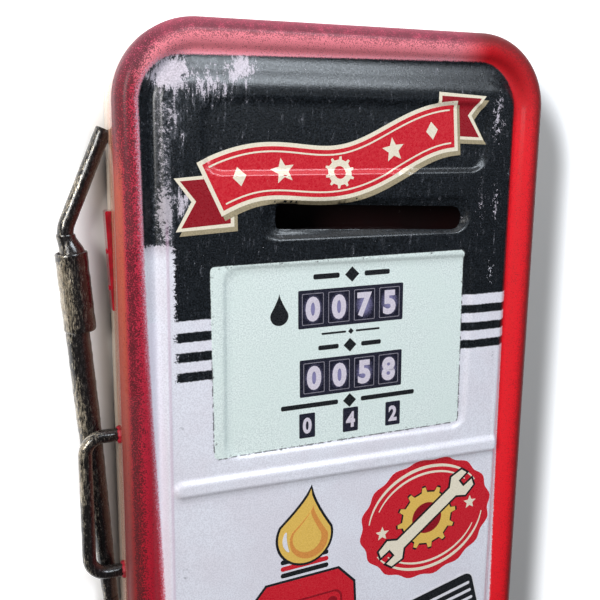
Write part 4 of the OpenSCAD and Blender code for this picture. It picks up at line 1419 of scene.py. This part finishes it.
def make_holder():
    points = holder_points()
    lengths = np.concatenate([[0], np.cumsum(np.linalg.norm(np.diff(points, axis=0), axis=1))])
    total = lengths[-1]

    def line(s):
        spots = (max(s - 1, 0), s, min(s + 1, total))
        behind, place, ahead = np.column_stack([np.interp(spots, lengths, axis) for axis in points.T])
        way = ahead - behind
        return place, way / np.linalg.norm(way)

    profile = [(0, 0.6), (0, 3.3), (0.4, HOLDER_R)] + [(s, HOLDER_R) for s in run(1.2, total - 1.2, 1.5)]
    profile += [(total - 0.4, HOLDER_R), (total, 3.3), (total, 0.6)]
    spun("holder_rod", line, profile, "holder_loop", 5.2, hammered=0.06)


def weld_bead(name, height):
    """A ring of weld metal where the holder's rod meets the side wall, uneven as a hand weld is."""
    centre = np.array([-WALL_X - CLEAR, HOLDER_V, height])
    radius, thick, seed = HOLDER_R + 0.2, 1.5, 1.3
    around, section = 48, 12
    points = []
    for i in range(around):
        a = 2 * math.pi * i / around
        size = thick * (1 + 0.16 * math.sin(9 * a + seed) + 0.1 * math.sin(5 * a + 2 * seed))
        for k in range(section):
            b = 2 * math.pi * k / section
            out = radius + size * 0.7 * math.cos(b)
            lift = max(0.0, math.sin(b)) * size
            points.append(centre + (-lift, out * math.sin(a), out * math.cos(a)))
    build(name, points, joined(section, around, True), [red_daub], "cabinet")


make_nozzle()
make_holder()
weld_bead("weld_holder_upper", HOLDER_TOP)
weld_bead("weld_holder_lower", HOLDER_TOP - HOLDER_SPAN)


# ---- Carried over CAD nodes ----

def refine(node, material, bevel=0.25):
    """Gives a CAD node its material and softens its edges."""
    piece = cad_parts[node]
    piece.data.materials.clear()
    piece.data.materials.append(material)
    flat = piece.modifiers.new("planar", "DECIMATE")
    flat.decimate_type = "DISSOLVE"
    flat.angle_limit = math.radians(1)
    edge = piece.modifiers.new("edges", "BEVEL")
    edge.width = bevel * MM
    edge.segments = 3
    edge.limit_method = "ANGLE"
    edge.angle_limit = math.radians(35)
    normals = piece.modifiers.new("normals", "WEIGHTED_NORMAL")
    normals.keep_sharp = True
    piece.data.shade_smooth()


for place in ("upper", "lower"):
    refine("hinge_leaf_body_" + place, wall_material)
    refine("hinge_leaf_door_" + place, wall_material)
    refine("hinge_pin_" + place, steel, 0.2)
for node, material, bevel in (
        ("door_stiffener_left", inside_paint_and_shade, 0.2), ("door_stiffener_right", inside_paint_and_shade, 0.2),
        ("body_rivets", steel, 0.3), ("door_rivets", steel, 0.3), ("side_boot", red_gloss, 0.35),
        ("boot_rivets", red_gloss, 0.15), ("lock_barrel", chrome, 0.25), ("lock_nut", steel, 0.3),
        ("lock_plug", brass, 0.12), ("lock_cam", steel, 0.25), ("lock_cam_screw", steel, 0.2)):
    refine(node, material, bevel)


# ---- Stage, lights and camera ----

STAGE_REACH = 1.6
STAGE_GAP = 0.0006
STAGE_HOLE_INSET = 0.004
# The area round the object where the stage wall has a painted shadow of darker grey and does not glow
SHADE = dict(centre=(23.5, -24), size=(FRONT_W + 47, FRONT_H), radius=60)
WORLD_COLOUR, WORLD_STRENGTH = (0.95, 0.97, 1.0, 1), 0.05
# Area lights: name, place, target, size, power and colour
LIGHTS = [
    ("key", (-1.25, -1.02, 0.55), (0, 0, 0.05), (0.5, 0.6), 19, (1.0, 0.985, 0.965)),
    ("softbox", (0.42, -1.36, 0.98), (0, 0, 0.15), (0.8, 0.42), 17, (0.88, 0.96, 1.04)),
    ("ceiling", (0.1, -0.35, 1.25), (0.05, -0.15, 0), (1.2, 0.7), 4.5, (1, 1, 1)),
]
# The camera's place in metres, its angles in degrees and its lens
CAMERA_PLACE = (-0.1866, -0.4461, 0.2279)
CAMERA_HEADING, CAMERA_PITCH, CAMERA_ROLL = 21.41, 10.91, 0.63
CAMERA_SENSOR, CAMERA_LENS, CAMERA_SHIFT = 36, 48.5, -0.033


def stage_paint():
    """Plain white paint, which glows a little so that it stays white, but not near the object, where a
    darker grey is painted as shadow. It is clear from behind, so that the object can be seen through the
    wall it hangs on."""
    p = Paint("stage_wall_white")
    near = p.rectangle(**SHADE)
    p.feed(p.shader.inputs["Emission Color"], (1.0, 1.0, 1.0))
    p.feed(p.shader.inputs["Emission Strength"], p.ramp(near, -2.0, 24.0, (0.0, 0.55)))
    white = p.mix(p.noise(0.01, seed=90.0), (0.90, 0.90, 0.905), (0.891, 0.891, 0.896))
    # Painted shadow: a darker grey near the object.
    shade = p.mix(p.ramp(near, -4.0, 18.0), (0.540, 0.522, 0.500), white)
    material = p.finish(shade, 0.9, specular_ior_level=0.0)
    clear, choose = p.node("ShaderNodeBsdfTransparent"), p.node("ShaderNodeMixShader")
    p.feed(choose.inputs[0], p.node("ShaderNodeNewGeometry").outputs["Backfacing"])
    p.feed(choose.inputs[1], p.shader.outputs[0])
    p.feed(choose.inputs[2], clear.outputs[0])
    p.feed(p.tree.nodes["Material Output"].inputs["Surface"], choose.outputs[0])
    return material


def make_stage():
    """The white wall behind the object, with a hole where the object covers it."""
    hx, hz = (side * MM - STAGE_HOLE_INSET for side in (WALL_X, wall_hi.z))
    hole = outline(2 * hx, 2 * hz, CORNER_R * MM, 0, 1, 12)
    outer = hole / np.maximum(np.abs(hole[:, 0]), np.abs(hole[:, 1]))[:, None] * STAGE_REACH
    count = len(hole)
    points = [(x, STAGE_GAP, z) for x, z in np.vstack([outer, hole])]
    faces = [(i, (i + 1) % count, (i + 1) % count + count, i + count) for i in range(count)]
    mesh = bpy.data.meshes.new("stage_wall")
    mesh.from_pydata(points, [], faces)
    mesh.materials.append(stage_paint())
    sheet = bpy.data.objects.new("stage_wall", mesh)
    bpy.context.scene.collection.objects.link(sheet)


def area_light(name, place, target, size, power, colour):
    data = bpy.data.lights.new(name, "AREA")
    data.shape = "RECTANGLE"
    data.size, data.size_y = size
    data.energy = power
    data.color = colour
    light = bpy.data.objects.new(name, data)
    light.location = place
    light.rotation_euler = (Vector(target) - Vector(place)).to_track_quat("-Z", "Y").to_euler()
    bpy.context.scene.collection.objects.link(light)


def make_lights():
    world = bpy.data.worlds.new("studio")
    world.use_nodes = True
    background = world.node_tree.nodes["Background"]
    background.inputs[0].default_value = WORLD_COLOUR
    background.inputs[1].default_value = WORLD_STRENGTH
    bpy.context.scene.world = world
    for light in LIGHTS:
        area_light(*light)


def make_camera():
    data = bpy.data.cameras.new("camera")
    data.sensor_width = CAMERA_SENSOR
    data.lens = CAMERA_LENS
    data.shift_y = CAMERA_SHIFT
    camera = bpy.data.objects.new("camera", data)
    heading, pitch, roll = (math.radians(a) for a in (CAMERA_HEADING, CAMERA_PITCH, CAMERA_ROLL))
    turn = Matrix.Rotation(-heading, 4, "Z") @ Matrix.Rotation(math.pi / 2 - pitch, 4, "X")
    place = Matrix.Translation(CAMERA_PLACE)
    camera.matrix_world = place @ turn @ Matrix.Rotation(roll, 4, "Z")
    bpy.context.scene.collection.objects.link(camera)
    bpy.context.scene.camera = camera


make_stage()
make_lights()
make_camera()
bpy.context.scene.view_settings.view_transform = "Standard"
